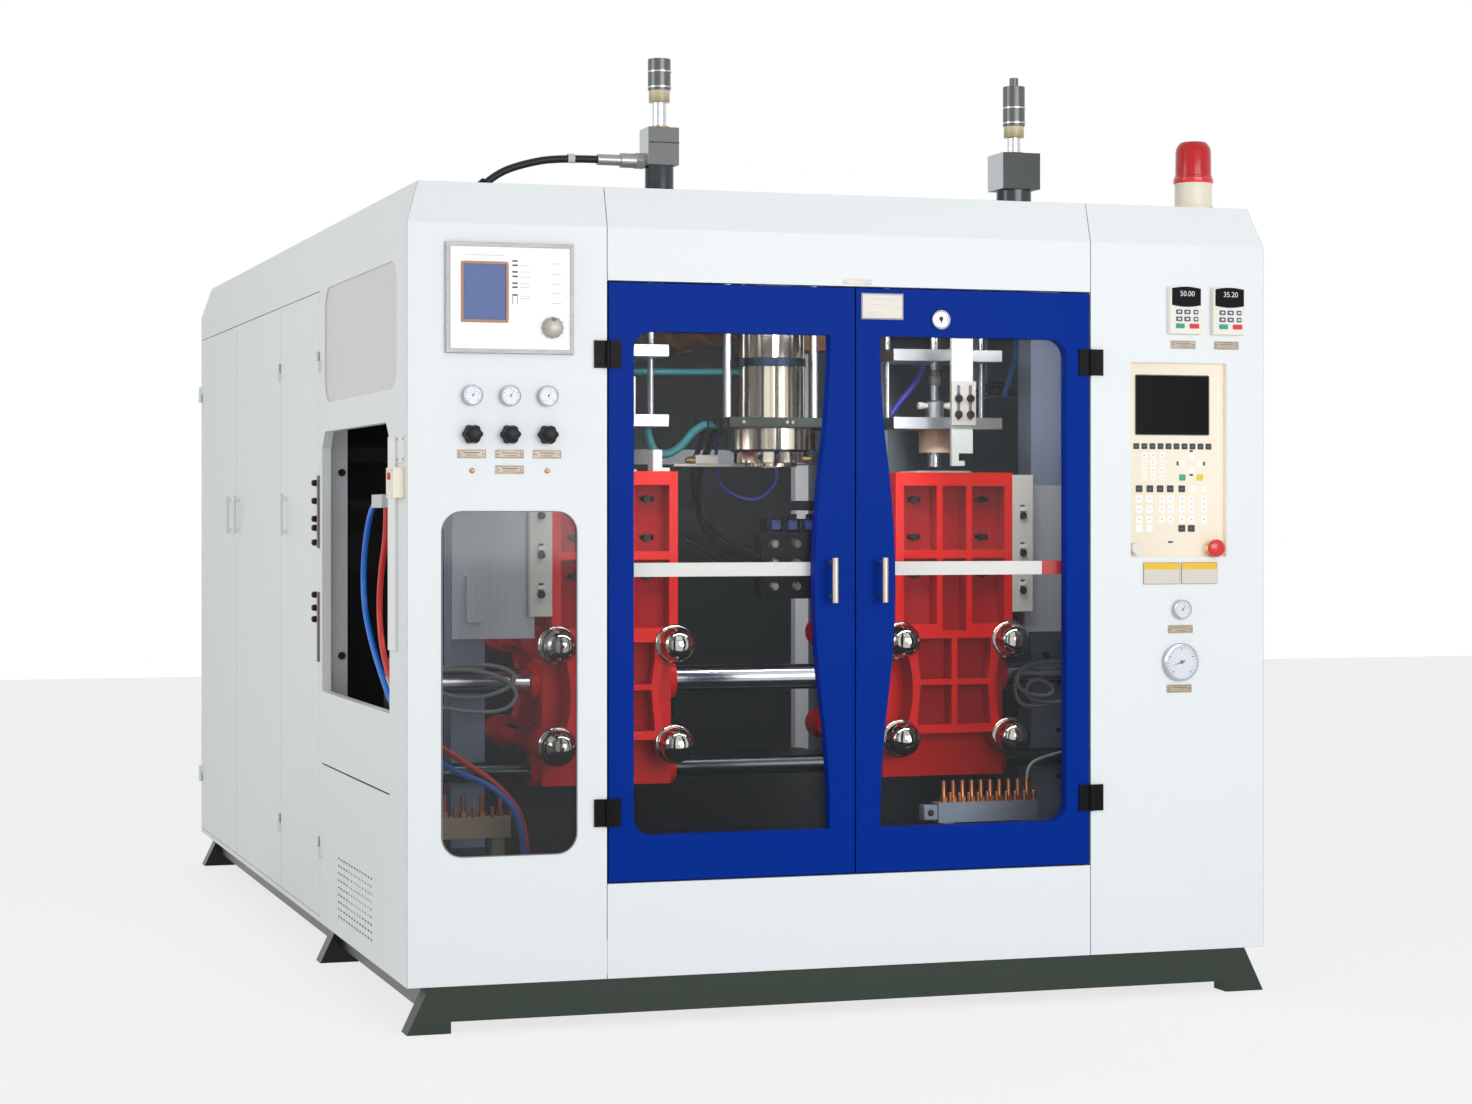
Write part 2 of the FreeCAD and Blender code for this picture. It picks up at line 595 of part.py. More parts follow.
def draw(sketch, outline):
    """Draws a closed outline: its corners, and with a corner the radius of the arc that leaves it.

    A corner is (across, up), or (across, up, radius, side) where an arc leaves it.
    A circle is ("circle", across, up, radius).
    """
    if outline[0] == "circle":
        name, across, up, radius = outline
        middle = V(number(across), number(up), 0)
        edge = sketch.addGeometry(Part.Circle(middle, V(0, 0, 1), number(radius)), False)
        pinned(sketch, (edge, 3), (across, up))
        sized(sketch, edge, radius)
        return
    corners = [V(number(corner[0]), number(corner[1]), 0) for corner in outline]
    edges = []
    ends = []
    for index, corner in enumerate(outline):
        start = corners[index]
        end = corners[(index + 1) % len(corners)]
        if len(corner) == 2:
            edges.append(sketch.addGeometry(Part.LineSegment(start, end), False))
            ends.append((1, 2))
            continue
        curve = arc_between(start, end, number(corner[2]), corner[3])
        edge = sketch.addGeometry(curve, False)
        edges.append(edge)
        first = sketch.getPoint(edge, 1)
        ends.append((1, 2) if first.distanceToPoint(start) < 1e-3 else (2, 1))
    for index, corner in enumerate(outline):
        following = (index + 1) % len(outline)
        sketch.addConstraint(
            Sketcher.Constraint("Coincident", edges[index], ends[index][1], edges[following],
                                ends[following][0])
        )
        pinned(sketch, (edges[index], ends[index][0]), corner[:2])
        if len(corner) == 4:
            sized(sketch, edges[index], corner[2])


def sketched(plane, outlines):
    """A body with its outlines drawn in one of its own planes."""
    body = doc.addObject("PartDesign::Body", "Body")
    sketch = body.newObject("Sketcher::SketchObject", "Outline")
    base = [feature for feature in body.Origin.OriginFeatures if feature.Role == plane][0]
    sketch.AttachmentSupport = (base, "")
    sketch.MapMode = "FlatFace"
    for outline in outlines:
        draw(sketch, outline)
    return body, sketch


def profile(plane, span, *outlines):
    """A body with one section from a low to a high value, square to its plane."""
    body, sketch = sketched(plane, outlines)
    pad = body.newObject("PartDesign::Pad", "Pad")
    pad.Profile = sketch
    pad.Reversed = plane == "XZ_Plane"
    bind(pad, "Length", span[1] - span[0])
    start = {"XZ_Plane": (0, span[0], 0), "YZ_Plane": (span[0], 0, 0), "XY_Plane": (0, 0, span[0])}[plane]
    return place(body, *start)


def turned(outline, x, y, z, axis="z"):
    """A body of revolution. The outline gives (radius, distance along the axis) from the point."""
    body, sketch = sketched("XZ_Plane", [outline])
    spin = body.newObject("PartDesign::Revolution", "Revolution")
    spin.Profile = sketch
    spin.ReferenceAxis = (sketch, ["V_Axis"])
    spin.Angle = 360
    return place(body, x, y, z, axis)


def rectangle(across, up):
    """The outline of a rectangle."""
    return [(across[0], up[0]), (across[1], up[0]), (across[1], up[1]), (across[0], up[1])]


def rounded(across, up, radius):
    """The outline of a rectangle with four round corners."""
    low, high = across
    bottom, top = up
    return [
        (low + radius, bottom), (high - radius, bottom, radius, 1), (high, bottom + radius),
        (high, top - radius, radius, 1), (high - radius, top), (low + radius, top, radius, 1),
        (low, top - radius), (low, bottom + radius, radius, 1),
    ]


def flipped(outline):
    """An outline turned left to right."""
    turned_over = []
    for corner in outline:
        turned_over.append((-corner[0], corner[1]) + ((corner[2], -corner[3]) if len(corner) == 4 else ()))
    return turned_over


def span_at(side, near, far):
    """The low and high X of a piece on the left (-1) or on the right (1)."""
    return (near, far) if side > 0 else (-far, -near)


# ----------------------------------------------------------------------------------------------
# Where the cabinet's faces lie
# ----------------------------------------------------------------------------------------------
RIGHT = s.cabinet_width / 2
LEFT = -RIGHT
EDGE = RIGHT - s.front_column
FRONT = -(s.cabinet_depth - s.handle_reach) / 2
BACK = FRONT + s.cabinet_depth
SIDES = (("left", -1), ("right", 1))
ROOF_EDGE = s.chamfer_inset + s.sheet_thick
LAST_SEAM = s.cabinet_depth - s.rear_margin
HOLE_SPAN = 8


def at(depth):
    """The Y of a point this far behind the front panels."""
    return FRONT + depth


def inset(span, amount):
    """A span made shorter at both ends."""
    return (span[0] + amount, span[1] - amount)


def about(middle, half):
    """The span round a middle."""
    return (middle - half, middle + half)


# ----------------------------------------------------------------------------------------------
# Base frame and machine frame
# ----------------------------------------------------------------------------------------------
def cross_beam(depth):
    """A beam across the floor with a splayed foot at each end."""
    outline = [
        (LEFT, 0), (LEFT + s.foot_length, 0), (LEFT + s.foot_length, s.foot_drop),
        (RIGHT - s.foot_length, s.foot_drop), (RIGHT - s.foot_length, 0), (RIGHT, 0),
        (RIGHT - s.beam_splay, s.panel_level), (LEFT + s.beam_splay, s.panel_level),
    ]
    return profile("XZ_Plane", (at(depth), at(depth) + s.beam_thick), outline)


REAR_BEAM = s.cabinet_depth - s.beam_thick - 12
beam_places = (s.sheet_thick, s.middle_beam_at, REAR_BEAM)
side_rails = []
for name, side in SIDES:
    rail_x = span_at(side, RIGHT - s.beam_splay - s.rail_width, RIGHT - s.beam_splay)
    rail_y = (at(s.sheet_thick), at(REAR_BEAM) + s.beam_thick)
    side_rails.append(box(rail_x, rail_y, (s.panel_level - s.rail_height, s.panel_level)))
anchor_holes = []
for depth in beam_places:
    for name, side in SIDES:
        hole_x = (RIGHT - s.anchor_inset) * side
        hole_y = at(depth) + s.beam_thick / 2
        anchor_holes.append(rod(hole_x, hole_y, (-1 * s.sheet_thick, s.panel_level + s.sheet_thick),
                                s.anchor_hole))
node("base_frame", carved(joined(*[cross_beam(depth) for depth in beam_places], *side_rails),
                          *anchor_holes))

SKIN_IN = RIGHT - s.sheet_thick
RAIL_IN = SKIN_IN - s.post_width
POST_OUT = RIGHT - s.post_inset
POST_IN = POST_OUT - s.post_width
LOW_RAIL = s.deck_level - s.deck_thick - s.post_width
ROOF_BEAM = s.rail_level + s.post_width
REAR_POST = s.cabinet_depth - s.sheet_thick - s.post_width
post_rows = (s.sheet_thick, s.middle_post_at, s.third_post_at, s.fourth_post_at, REAR_POST)
PARTING = at(s.parting_at)
RAMS = {
    "left": (s.left_ram_radius, s.left_head_side, s.left_head_level, s.left_rod_show, s.left_sleeve_height),
    "right": (s.right_ram_radius, s.right_head_side, s.right_head_level, s.right_rod_show,
              s.right_sleeve_height),
}


def row_y(depth):
    """The Y span of a post or a cross rail."""
    return (at(depth), at(depth) + s.post_width)


TOP_RAILS = (s.rail_level, ROOF_BEAM)
LOW_RAILS = (LOW_RAIL, LOW_RAIL + s.post_width)
SHAFT_HALF = RIGHT - s.shaft_end_room
rear_post_x = (-POST_OUT, -POST_IN)
rail_x = (RAIL_IN, SKIN_IN)
column_start = PARTING + s.upper_shaft_radius + s.column_room
column_y = (column_start, column_start + s.column_side)
roof_beam_y = about(at(s.ram_back), s.right_ram_radius + 16)
roof_beam_z = (ROOF_BEAM, ROOF_BEAM + s.roof_beam_height)
tubes, notches = [], []
for name, side in SIDES:
    # the posts behind the cabinet doors stand further in than the others
    low_x = rear_post_x if side < 0 else rail_x
    for row, depth in enumerate(post_rows):
        post_x = span_at(side, *rail_x) if row == 0 else low_x
        tubes.append(box(post_x, row_y(depth), (s.panel_level, s.rail_level)))
        if row > 0:
            notches.append(box(post_x, row_y(depth), (LOW_RAILS[1] - 1, s.deck_level + 1)))
            bay = (at(post_rows[row - 1]) + s.post_width, at(depth))
            tubes.append(box(low_x, bay, LOW_RAILS))
    door_post = span_at(side, EDGE + s.door_post_room, EDGE + s.door_post_room + s.post_width)
    tubes.append(box(door_post, row_y(s.sheet_thick), (s.panel_level, s.rail_level)))
    corner_bay = span_at(side, EDGE + s.door_post_room + s.post_width, RAIL_IN)
    tubes.append(box(corner_bay, row_y(s.sheet_thick), LOW_RAILS))
    tubes.append(box(span_at(side, *rail_x), (at(s.sheet_thick), at(REAR_POST) + s.post_width), TOP_RAILS))
    column_x = span_at(side, s.column_across, s.column_across + s.column_side)
    tubes.append(box(column_x, column_y, (s.deck_level, s.rail_level)))
    bracket = box(span_at(side, SHAFT_HALF - s.bracket_thick, SHAFT_HALF),
                  about(PARTING, s.bracket_width / 2),
                  (s.deck_level, s.bracket_high))
    seat_x = span_at(side, SHAFT_HALF - s.bracket_thick - HOLE_SPAN, SHAFT_HALF + HOLE_SPAN)
    upper_seat = rod(seat_x, PARTING, s.upper_shaft_level, s.upper_shaft_radius)
    lower_seat = rod(seat_x, PARTING, s.lower_shaft_level, s.lower_shaft_radius)
    tubes.append(carved(bracket, upper_seat, lower_seat))
wide = (-RAIL_IN, RAIL_IN)
across = (-POST_IN, RAIL_IN)
door_bay = (-EDGE - s.door_post_room, EDGE + s.door_post_room)
tubes.append(box(door_bay, row_y(s.sheet_thick), LOW_RAILS))
for depth in (s.middle_post_at, REAR_POST):
    tubes.append(box(across, row_y(depth), LOW_RAILS))
for depth in (s.sheet_thick, s.middle_post_at, REAR_POST):
    tubes.append(box(wide, row_y(depth), TOP_RAILS))
# the stations, the die head and the two columns hang from this beam
tubes.append(box(wide, (PARTING - s.column_side / 2, column_y[1]), TOP_RAILS))
tubes.append(box(across, row_y(s.fourth_post_at), (s.gearbox_low - s.post_width, s.gearbox_low)))
bridge_y = (at(s.bridge_at), at(s.bridge_at) + s.bridge_thick)
tubes.append(box(across, bridge_y, (s.bridge_level, s.bridge_level + s.bridge_height)))
tubes.append(box(across, bridge_y, (s.slim_beam_level, s.slim_beam_level + s.slim_beam_height)))
deck = box((-POST_IN - s.deck_lap, RAIL_IN + s.deck_lap),
           (at(s.sheet_thick) + s.post_width, at(REAR_POST) + s.deck_lap),
           (s.deck_level - s.deck_thick, s.deck_level))
tubes.append(carved(deck, *notches))
roof_beam_reach = RIGHT - s.chamfer_inset
roof_beam_holes = [rod(s.station_across * side, at(s.ram_back), inset(roof_beam_z, -HOLE_SPAN),
                       RAMS[name][0])
                   for name, side in SIDES]
tubes.append(carved(box((-roof_beam_reach, roof_beam_reach), roof_beam_y, roof_beam_z), *roof_beam_holes))
node("machine_frame", together(*tubes))
shafts = []
for level, radius in ((s.upper_shaft_level, s.upper_shaft_radius),
                      (s.lower_shaft_level, s.lower_shaft_radius)):
    shafts.append(rod((-SHAFT_HALF, SHAFT_HALF), PARTING, level, radius))
node("slide_shafts", together(*shafts))


# ----------------------------------------------------------------------------------------------
# Cabinet panels
# ----------------------------------------------------------------------------------------------
def hood(margin, low):
    """The cabinet's block, drawn in by a margin, with its folded upper edge."""
    x = (LEFT + margin, RIGHT - margin)
    y = (FRONT + margin, BACK - margin)
    top = s.roof_level - margin
    lean = s.chamfer_inset
    wedge = doc.addObject("Part::Wedge", "Hood")
    for prop, amount in (
        ("Xmin", x[0]), ("Xmax", x[1]), ("Ymin", s.bend_level), ("Ymax", top),
        ("Zmin", -y[1]), ("Zmax", -y[0]), ("X2min", x[0] + lean), ("X2max", x[1] - lean),
        ("Z2min", -y[1] + lean), ("Z2max", -y[0] - lean),
    ):
        bind(wedge, prop, amount)
    wedge.Placement = FreeCAD.Placement(V(), FreeCAD.Rotation(V(1, 0, 0), 90))
    return joined(box(x, y, (low, s.bend_level)), wedge)


def skin():
    """The sheet over the whole cabinet."""
    return carved(hood(0 * s.sheet_thick, s.panel_level), hood(s.sheet_thick, s.panel_level - s.foot_drop))


def region(*corners):
    """An upright block over the floor area between its corners, as high as the cabinet."""
    return profile("XY_Plane", (s.panel_level - 1, s.roof_level + 1), list(corners))


def mitred(edge):
    """The floor area of one side of the cabinet's skin."""
    g = s.panel_gap / 2
    deep = ROOF_EDGE
    if edge == "front":
        return [(LEFT + g, FRONT), (RIGHT - g, FRONT), (RIGHT - deep - g, FRONT + deep),
                (LEFT + deep + g, FRONT + deep)]
    if edge == "rear":
        return [(LEFT + g, BACK), (LEFT + deep + g, BACK - deep), (RIGHT - deep - g, BACK - deep),
                (RIGHT - g, BACK)]
    if edge == "left":
        return [(LEFT, FRONT + g), (LEFT + deep, FRONT + deep + g), (LEFT + deep, BACK - deep - g),
                (LEFT, BACK - g)]
    return [(RIGHT, FRONT + g), (RIGHT, BACK - g), (RIGHT - deep, BACK - deep - g),
            (RIGHT - deep, FRONT + deep + g)]


def sheet_hole(across, up, radius, side="front"):
    """A block that cuts a round cornered window into the front or the left side."""
    if side == "front":
        return profile("XZ_Plane", (FRONT - HOLE_SPAN, FRONT + HOLE_SPAN), rounded(across, up, radius))
    return profile("YZ_Plane", (LEFT - HOLE_SPAN, LEFT + HOLE_SPAN), rounded(across, up, radius))


def front_hole(x, z, radius):
    """A round hole through the front sheet."""
    return rod(x, (FRONT - HOLE_SPAN, FRONT + HOLE_SPAN), z, radius)


door_z = (s.sill_level, s.header_level)
return_y = (FRONT, FRONT + s.return_depth)
g = s.panel_gap / 2
controller_x = (LEFT + s.controller_left, LEFT + s.controller_left + s.controller_width)
dial_x = LEFT + s.dial_across
gauge_x = [LEFT + s.gauge_first + s.gauge_pitch * step for step in range(3)]
column_x = (LEFT + s.column_window_left, LEFT + s.column_window_left + s.column_window_width)
column_z = (s.column_window_low, s.column_window_high)
panel_x = (RIGHT - s.panel_left, RIGHT - s.panel_left + s.panel_width)
panel_z = (s.panel_low, s.panel_high)


def front_part(low, high, bottom, top):
    """The part of the front skin between two X and two Z values."""
    slab = box((low, high), (FRONT - 1, FRONT + ROOF_EDGE + 1), (bottom, top))
    return shared(shared(skin(), region(*mitred("front"))), slab)


left_sheet = front_part(LEFT - 1, -EDGE - g, s.panel_level - 1, s.roof_level + 1)
left_return = box((-EDGE - g - s.sheet_thick, -EDGE - g), return_y, door_z)
knob_holes = [front_hole(x, s.knob_level, s.knob_stem + s.run_fit) for x in gauge_x]
node("front_left_panel", carved(
    joined(left_sheet, left_return),
    sheet_hole(column_x, column_z, s.column_window_round),
    front_hole(dial_x, s.dial_level, s.knob_stem + s.run_fit),
    *knob_holes,
))
right_sheet = front_part(EDGE + g, RIGHT + 1, s.panel_level - 1, s.roof_level + 1)
right_return = box((EDGE + g, EDGE + g + s.sheet_thick), return_y, door_z)
node("front_right_panel", carved(
    joined(right_sheet, right_return),
    box(panel_x, (FRONT - HOLE_SPAN, FRONT + HOLE_SPAN), panel_z),
))
header_sheet = front_part(-EDGE + g, EDGE - g, s.header_level, s.roof_level + 1)
header_return = box((-EDGE + g, EDGE - g), return_y, (s.header_level, s.header_level + s.sheet_thick))
node("header_panel", joined(header_sheet, header_return))
sill_sheet = front_part(-EDGE + g, EDGE - g, s.panel_level - 1, s.sill_level)
sill_return = box((-EDGE + g, EDGE - g), (FRONT, FRONT + s.post_inset),
                  (s.sill_level - s.sheet_thick, s.sill_level))
node("sill_panel", joined(sill_sheet, sill_return))

hatch_y = (at(s.hatch_front), at(s.hatch_back))
hatch_z = (s.hatch_low, s.hatch_high)


def hatch_outline(grow):
    """The outline of the service hatch, grown on every side."""
    front, back = hatch_y[0] - grow, hatch_y[1] + grow
    low, high = hatch_z[0] - grow, hatch_z[1] + grow
    return [(front, low), (back, low), (back, high - s.hatch_cut), (back - s.hatch_cut, high),
            (front + s.hatch_cut, high), (front, high - s.hatch_cut)]


left_side = shared(skin(), region(*mitred("left")))
hatch_frame = profile(
    "YZ_Plane", (LEFT, LEFT + s.post_inset), hatch_outline(s.sheet_thick), hatch_outline(0 * s.sheet_thick)
)
side_cuts = [
    profile("YZ_Plane", (LEFT - HOLE_SPAN, LEFT + s.post_inset), hatch_outline(0 * s.sheet_thick)),
    box((LEFT - 1, LEFT + s.sheet_thick + 1), (at(s.first_seam), at(LAST_SEAM)),
        (s.leaf_bottom - 2, s.leaf_top + 2)),
    sheet_hole((at(s.side_window_front), at(s.side_window_back)), (s.side_window_low, s.side_window_high),
               s.side_window_round, "left"),
    box((LEFT - 1, LEFT + s.sheet_thick + 1), hatch_y, about(s.seam_slot_level, s.seam_slot_height / 2)),
]
for row in range(9):
    level = s.vent_low + s.vent_pitch_up * row
    for step in range(13):
        start = at(s.vent_front) + s.vent_pitch_across * step
        side_cuts.append(box((LEFT - 1, LEFT + s.sheet_thick + 1), (start, start + s.vent_length),
                             (level, level + s.vent_height)))
node("left_side_panel", carved(joined(left_side, hatch_frame), *side_cuts))
node("right_side_panel", shared(skin(), region(*mitred("right"))))
node("rear_panel", shared(skin(), region(*mitred("rear"))))
roof_margin = ROOF_EDGE + s.panel_gap
roof_sheet = box((LEFT + roof_margin, RIGHT - roof_margin), (FRONT + roof_margin, BACK - roof_margin),
                 (s.roof_level - s.sheet_thick, s.roof_level))
roof_span = (s.roof_level - HOLE_SPAN, s.roof_level + HOLE_SPAN)
roof_holes = [rod(s.station_across * side, at(s.ram_back), roof_span, RAMS[name][0])
              for name, side in SIDES]
roof_holes.append(rod(0, at(s.hopper_at), roof_span, s.hopper_radius))
node("roof_panel", carved(roof_sheet, *roof_holes))
pane_y = (FRONT + s.sheet_thick, FRONT + s.sheet_thick + s.pane_thick)
grow = -1 * s.pane_lap
column_pane = profile("XZ_Plane", pane_y, rounded(
    inset(column_x, grow), inset(column_z, grow), s.column_window_round))
side_pane = profile(
    "YZ_Plane", (LEFT + s.sheet_thick, LEFT + s.sheet_thick + s.pane_thick),
    rounded(inset((at(s.side_window_front), at(s.side_window_back)), grow),
            inset((s.side_window_low, s.side_window_high), grow), s.side_window_round),
)
node("window_panes", together(column_pane, side_pane))


# ----------------------------------------------------------------------------------------------
# Front doors
# ----------------------------------------------------------------------------------------------
def door_window(outer, inner, low, high, radius, bow, flip):
    """The window of the left door, with its inner edge bowed in. Flip gives the right door's."""
    half = (high - low) / 2
    middle = (high + low) / 2
    bend = (half * half + bow * bow) / (bow * 4)
    outline = [
        (outer + radius, low), (inner, low, bend, 1), (inner - bow / 2, middle - half / 2, bend, -1),
        (inner - bow / 2, middle + half / 2, bend, 1), (inner, high), (outer + radius, high, radius, 1),
        (outer, high - radius), (outer, low + radius, radius, 1),
    ]
    return flipped(outline) if flip else outline


door_outer = -EDGE + s.door_gap
door_inner = -1 * s.panel_gap
door_low = s.sill_level + s.door_gap
door_high = s.header_level - s.door_gap
view_outer = door_outer + s.stile
view_inner = door_inner - s.meeting_stile
view_low = door_low + s.bottom_rail
view_high = door_high - s.top_rail
door_y = (FRONT, FRONT + s.door_depth)
HINGE_Y = FRONT - s.hinge_knuckle
hinge_levels = (s.lower_hinge_level, s.upper_hinge_level)
LOCK_STEM = 10


def mirrored_span(span, flip):
    """A span turned left to right for the right door."""
    return (-span[1], -span[0]) if flip else span


def hinge_parts(flip):
    """The fixed halves and the door halves of one door's hinges."""
    fixed, moving = [], []
    axis_x = EDGE if flip else -EDGE
    third = s.hinge_size / 6
    half = s.hinge_size / 2
    leaf_y = (FRONT - s.hinge_thick, FRONT)
    hollow = s.hinge_knuckle + s.run_fit * 8
    for level in hinge_levels:
        low, high = level - half, level + half
        middle = (level - third - s.run_fit, level + third + s.run_fit)
        fixed_leaf = box(mirrored_span((-EDGE - half, -EDGE), flip), leaf_y, (low, high))
        fixed_leaf = carved(fixed_leaf, rod(axis_x, HINGE_Y, middle, hollow))
        knuckles = (rod(axis_x, HINGE_Y, (low, middle[0]), s.hinge_knuckle),
                    rod(axis_x, HINGE_Y, (middle[1], high), s.hinge_knuckle))
        fixed.append(joined(fixed_leaf, *knuckles, rod(axis_x, HINGE_Y, (low, high), s.hinge_pin)))
        door_leaf = box(mirrored_span((-EDGE, -EDGE + half), flip), leaf_y, (low, high))
        door_leaf = carved(door_leaf, rod(axis_x, HINGE_Y, (low - 1, middle[0] + s.run_fit * 2), hollow),
                           rod(axis_x, HINGE_Y, (middle[1] - s.run_fit * 2, high + 1), hollow))
        inner = (level - third, level + third)
        door_leaf = joined(door_leaf, rod(axis_x, HINGE_Y, inner, s.hinge_knuckle))
        moving.append(carved(door_leaf, rod(axis_x, HINGE_Y, inset(inner, -1), s.hinge_pin + s.run_fit)))
    return fixed, moving


hinge_pins = []
for name, side in SIDES:
    flip = side > 0
    t = s.sheet_thick
    outer_x = mirrored_span((door_outer, door_inner), flip)
    frame = profile(
        "XZ_Plane", door_y, rectangle(outer_x, (door_low, door_high)),
        door_window(view_outer, view_inner, view_low, view_high, s.window_round, s.stile_bow, flip),
    )
    hollow = profile(
        "XZ_Plane", (FRONT + t, FRONT + s.door_depth + 1),
        rectangle(inset(outer_x, t), (door_low + t, door_high - t)),
        door_window(view_outer - t, view_inner + t, view_low - t, view_high + t, s.window_round + t,
                    s.stile_bow, flip),
    )
    door = carved(frame, hollow)
    if flip:
        door = carved(door, front_hole(s.lock_across, s.lock_level, LOCK_STEM + s.run_fit))
    node(name + "_door", door)
    lap = s.pane_lap
    pane_y = (door_y[1], door_y[1] + s.pane_thick)
    node(name + "_door_pane", profile("XZ_Plane", pane_y, door_window(
        view_outer - lap, view_inner + lap, view_low - lap, view_high + lap, s.window_round + lap,
        s.stile_bow, flip)))
    fixed, moving = hinge_parts(flip)
    hinge_pins += fixed
    guard_y = (pane_y[1], pane_y[1] + s.guard_thick)
    guard_x = mirrored_span((view_outer - lap, view_inner), flip)
    guard = box(guard_x, guard_y, about(s.guard_level, s.guard_height / 2))
    handle_x = s.handle_inset * side
    handle_y = FRONT - s.handle_reach + s.handle_radius
    handle_z = about(s.handle_level, s.handle_length / 2)
    feet = [rod(handle_x, (handle_y, FRONT), level, s.handle_radius - 1)
            for level in inset(handle_z, s.handle_radius + 5)]
    handle = joined(rod(handle_x, handle_y, handle_z, s.handle_radius), *feet)
    node(name + "_door_fittings", together(guard, handle, *moving))

cam_y = (FRONT + s.door_depth + 2, FRONT + s.door_depth + 6)
cam_x = (s.lock_across - 14, s.lock_across + 76)
lock_face = rod(s.lock_across, (FRONT - 6, FRONT), s.lock_level, s.lock_radius)
lock_stem = rod(s.lock_across, (FRONT - 3, cam_y[1]), s.lock_level, LOCK_STEM)
node("door_lock", joined(lock_face, lock_stem, box(cam_x, cam_y, about(s.lock_level, 11))))


# ----------------------------------------------------------------------------------------------
# Cabinet doors on the left side
# ----------------------------------------------------------------------------------------------
LEAF_GAP = 2.5
PIN_OUT = 6
PIN_ALONG = 6
KNUCKLE = 5
KNUCKLE_PIN = 2.5
TAB = 1.5
leaf_z = (s.leaf_bottom, s.leaf_top)
leaf_hinges = (s.leaf_bottom + 170, s.leaf_top - 170)


def cabinet_door(low, high, hinge_seam, way, pull_at):
    """A folded leaf, its pull and its halves of the barrel hinges. way is 1 where it extends to the back."""
    y = (at(low) + LEAF_GAP, at(high) - LEAF_GAP)
    t = s.sheet_thick
    pan = carved(box((LEFT, LEFT + s.leaf_depth), y, leaf_z),
                 box((LEFT + t, LEFT + s.leaf_depth + 1), inset(y, t), inset(leaf_z, t)))
    axis_y = at(hinge_seam) + PIN_ALONG * way
    parts = [pan]
    for level in leaf_hinges:
        plate_y = (axis_y, axis_y + 24) if way > 0 else (axis_y - 24, axis_y)
        upper = (level, level + 24)
        parts.append(box((LEFT - 3, LEFT), plate_y, upper))
        parts.append(rod(LEFT - PIN_OUT, axis_y, upper, KNUCKLE))
    bar_x = LEFT - s.pull_reach + 6
    bar_z = about(s.pull_level, s.pull_length / 2)
    parts.append(rod(bar_x, at(pull_at), bar_z, 6))
    for level in inset(bar_z, 12):
        parts.append(rod((bar_x, LEFT + 1), at(pull_at), level, 5))
    bores = [rod(LEFT - PIN_OUT, axis_y, (level - 1, level + 25), KNUCKLE_PIN + s.run_fit)
             for level in leaf_hinges]
    return carved(joined(*parts), *bores)


def fixed_barrel(seam, way, level, tab):
    """The fixed half of a cabinet door's barrel hinge, on the panel or on a tab from the post."""
    axis_y = at(seam) + PIN_ALONG * way
    lower = (level - 24, level)
    parts = [rod(LEFT - PIN_OUT, axis_y, lower, KNUCKLE),
             rod(LEFT - PIN_OUT, axis_y, (level - 24, level + 24), KNUCKLE_PIN)]
    near = at(seam) - TAB if tab else at(seam) - 24
    if way < 0:
        near = at(seam) + 14
    reach = (near, axis_y) if way > 0 else (axis_y, near)
    parts.append(box((LEFT - PIN_OUT - 3, LEFT - 3), reach, lower))
    if tab:
        parts.append(box((LEFT - 3, LEFT + s.post_inset), about(at(seam), TAB), lower))
    else:
        flat = (near, at(seam) - 1) if way > 0 else (at(seam) + 1, near)
        parts.append(box((LEFT - 3, LEFT), flat, lower))
    return joined(*parts)


node("cabinet_door_1", cabinet_door(s.first_seam, s.second_seam, s.first_seam, 1, s.second_seam - 107))
node("cabinet_door_2", cabinet_door(s.second_seam, s.third_seam, s.second_seam, 1, s.third_seam - 60))
node("cabinet_door_3", cabinet_door(s.third_seam, LAST_SEAM, LAST_SEAM, -1, s.third_seam + 80))
for level in leaf_hinges:
    hinge_pins.append(fixed_barrel(s.first_seam, 1, level, False))
    hinge_pins.append(fixed_barrel(s.second_seam, 1, level, True))
    hinge_pins.append(fixed_barrel(LAST_SEAM, -1, level, False))
node("hinge_pins", together(*hinge_pins))

# ----------------------------------------------------------------------------------------------
# Instruments on the front and on the left side
# ----------------------------------------------------------------------------------------------
display_x = (LEFT + s.display_left, LEFT + s.display_left + s.display_width)
controller_y = (FRONT - s.controller_proud, FRONT)
controller_z = (s.controller_low, s.controller_high)
controller_rim = box(controller_x, controller_y, controller_z)
controller_face = box(inset(controller_x, s.controller_rim), (controller_y[0] - 1, controller_y[0] + 2),
                      inset(controller_z, s.controller_rim))
display = box(display_x, (controller_y[0] - 1, controller_y[0] + 5), (s.display_low, s.display_high))
dial_hole = rod(dial_x, (controller_y[0] - 1, FRONT + 1), s.dial_level, s.knob_stem + s.run_fit)
node("parison_controller", carved(carved(controller_rim, controller_face), display, dial_hole))


def knob(x, z, face, radius, length, depth):
    """A turning knob in front of a face, on a stem that goes in by a depth."""
    body_y = (face - length, face)
    waist = 0.14 * length
    outline = [
        (0, 0), (radius, 0), (radius, waist), (radius - 2, waist + 1), (radius - 3, length - 2),
        (radius - 5, length), (0, length),
    ]
    head = turned(outline, x, face, z, "-y")
    return joined(head, rod(x, (body_y[0] + 2, face + depth), z, s.knob_stem))


dial_face = controller_y[0] + 2
node("parison_dial",
     knob(dial_x, s.dial_level, dial_face, s.dial_radius, s.dial_length, s.controller_proud + 8))
for step, x in enumerate(gauge_x):
    node(f"regulator_knob_{step + 1}", knob(x, s.knob_level, FRONT, s.knob_radius, s.knob_length, 12))


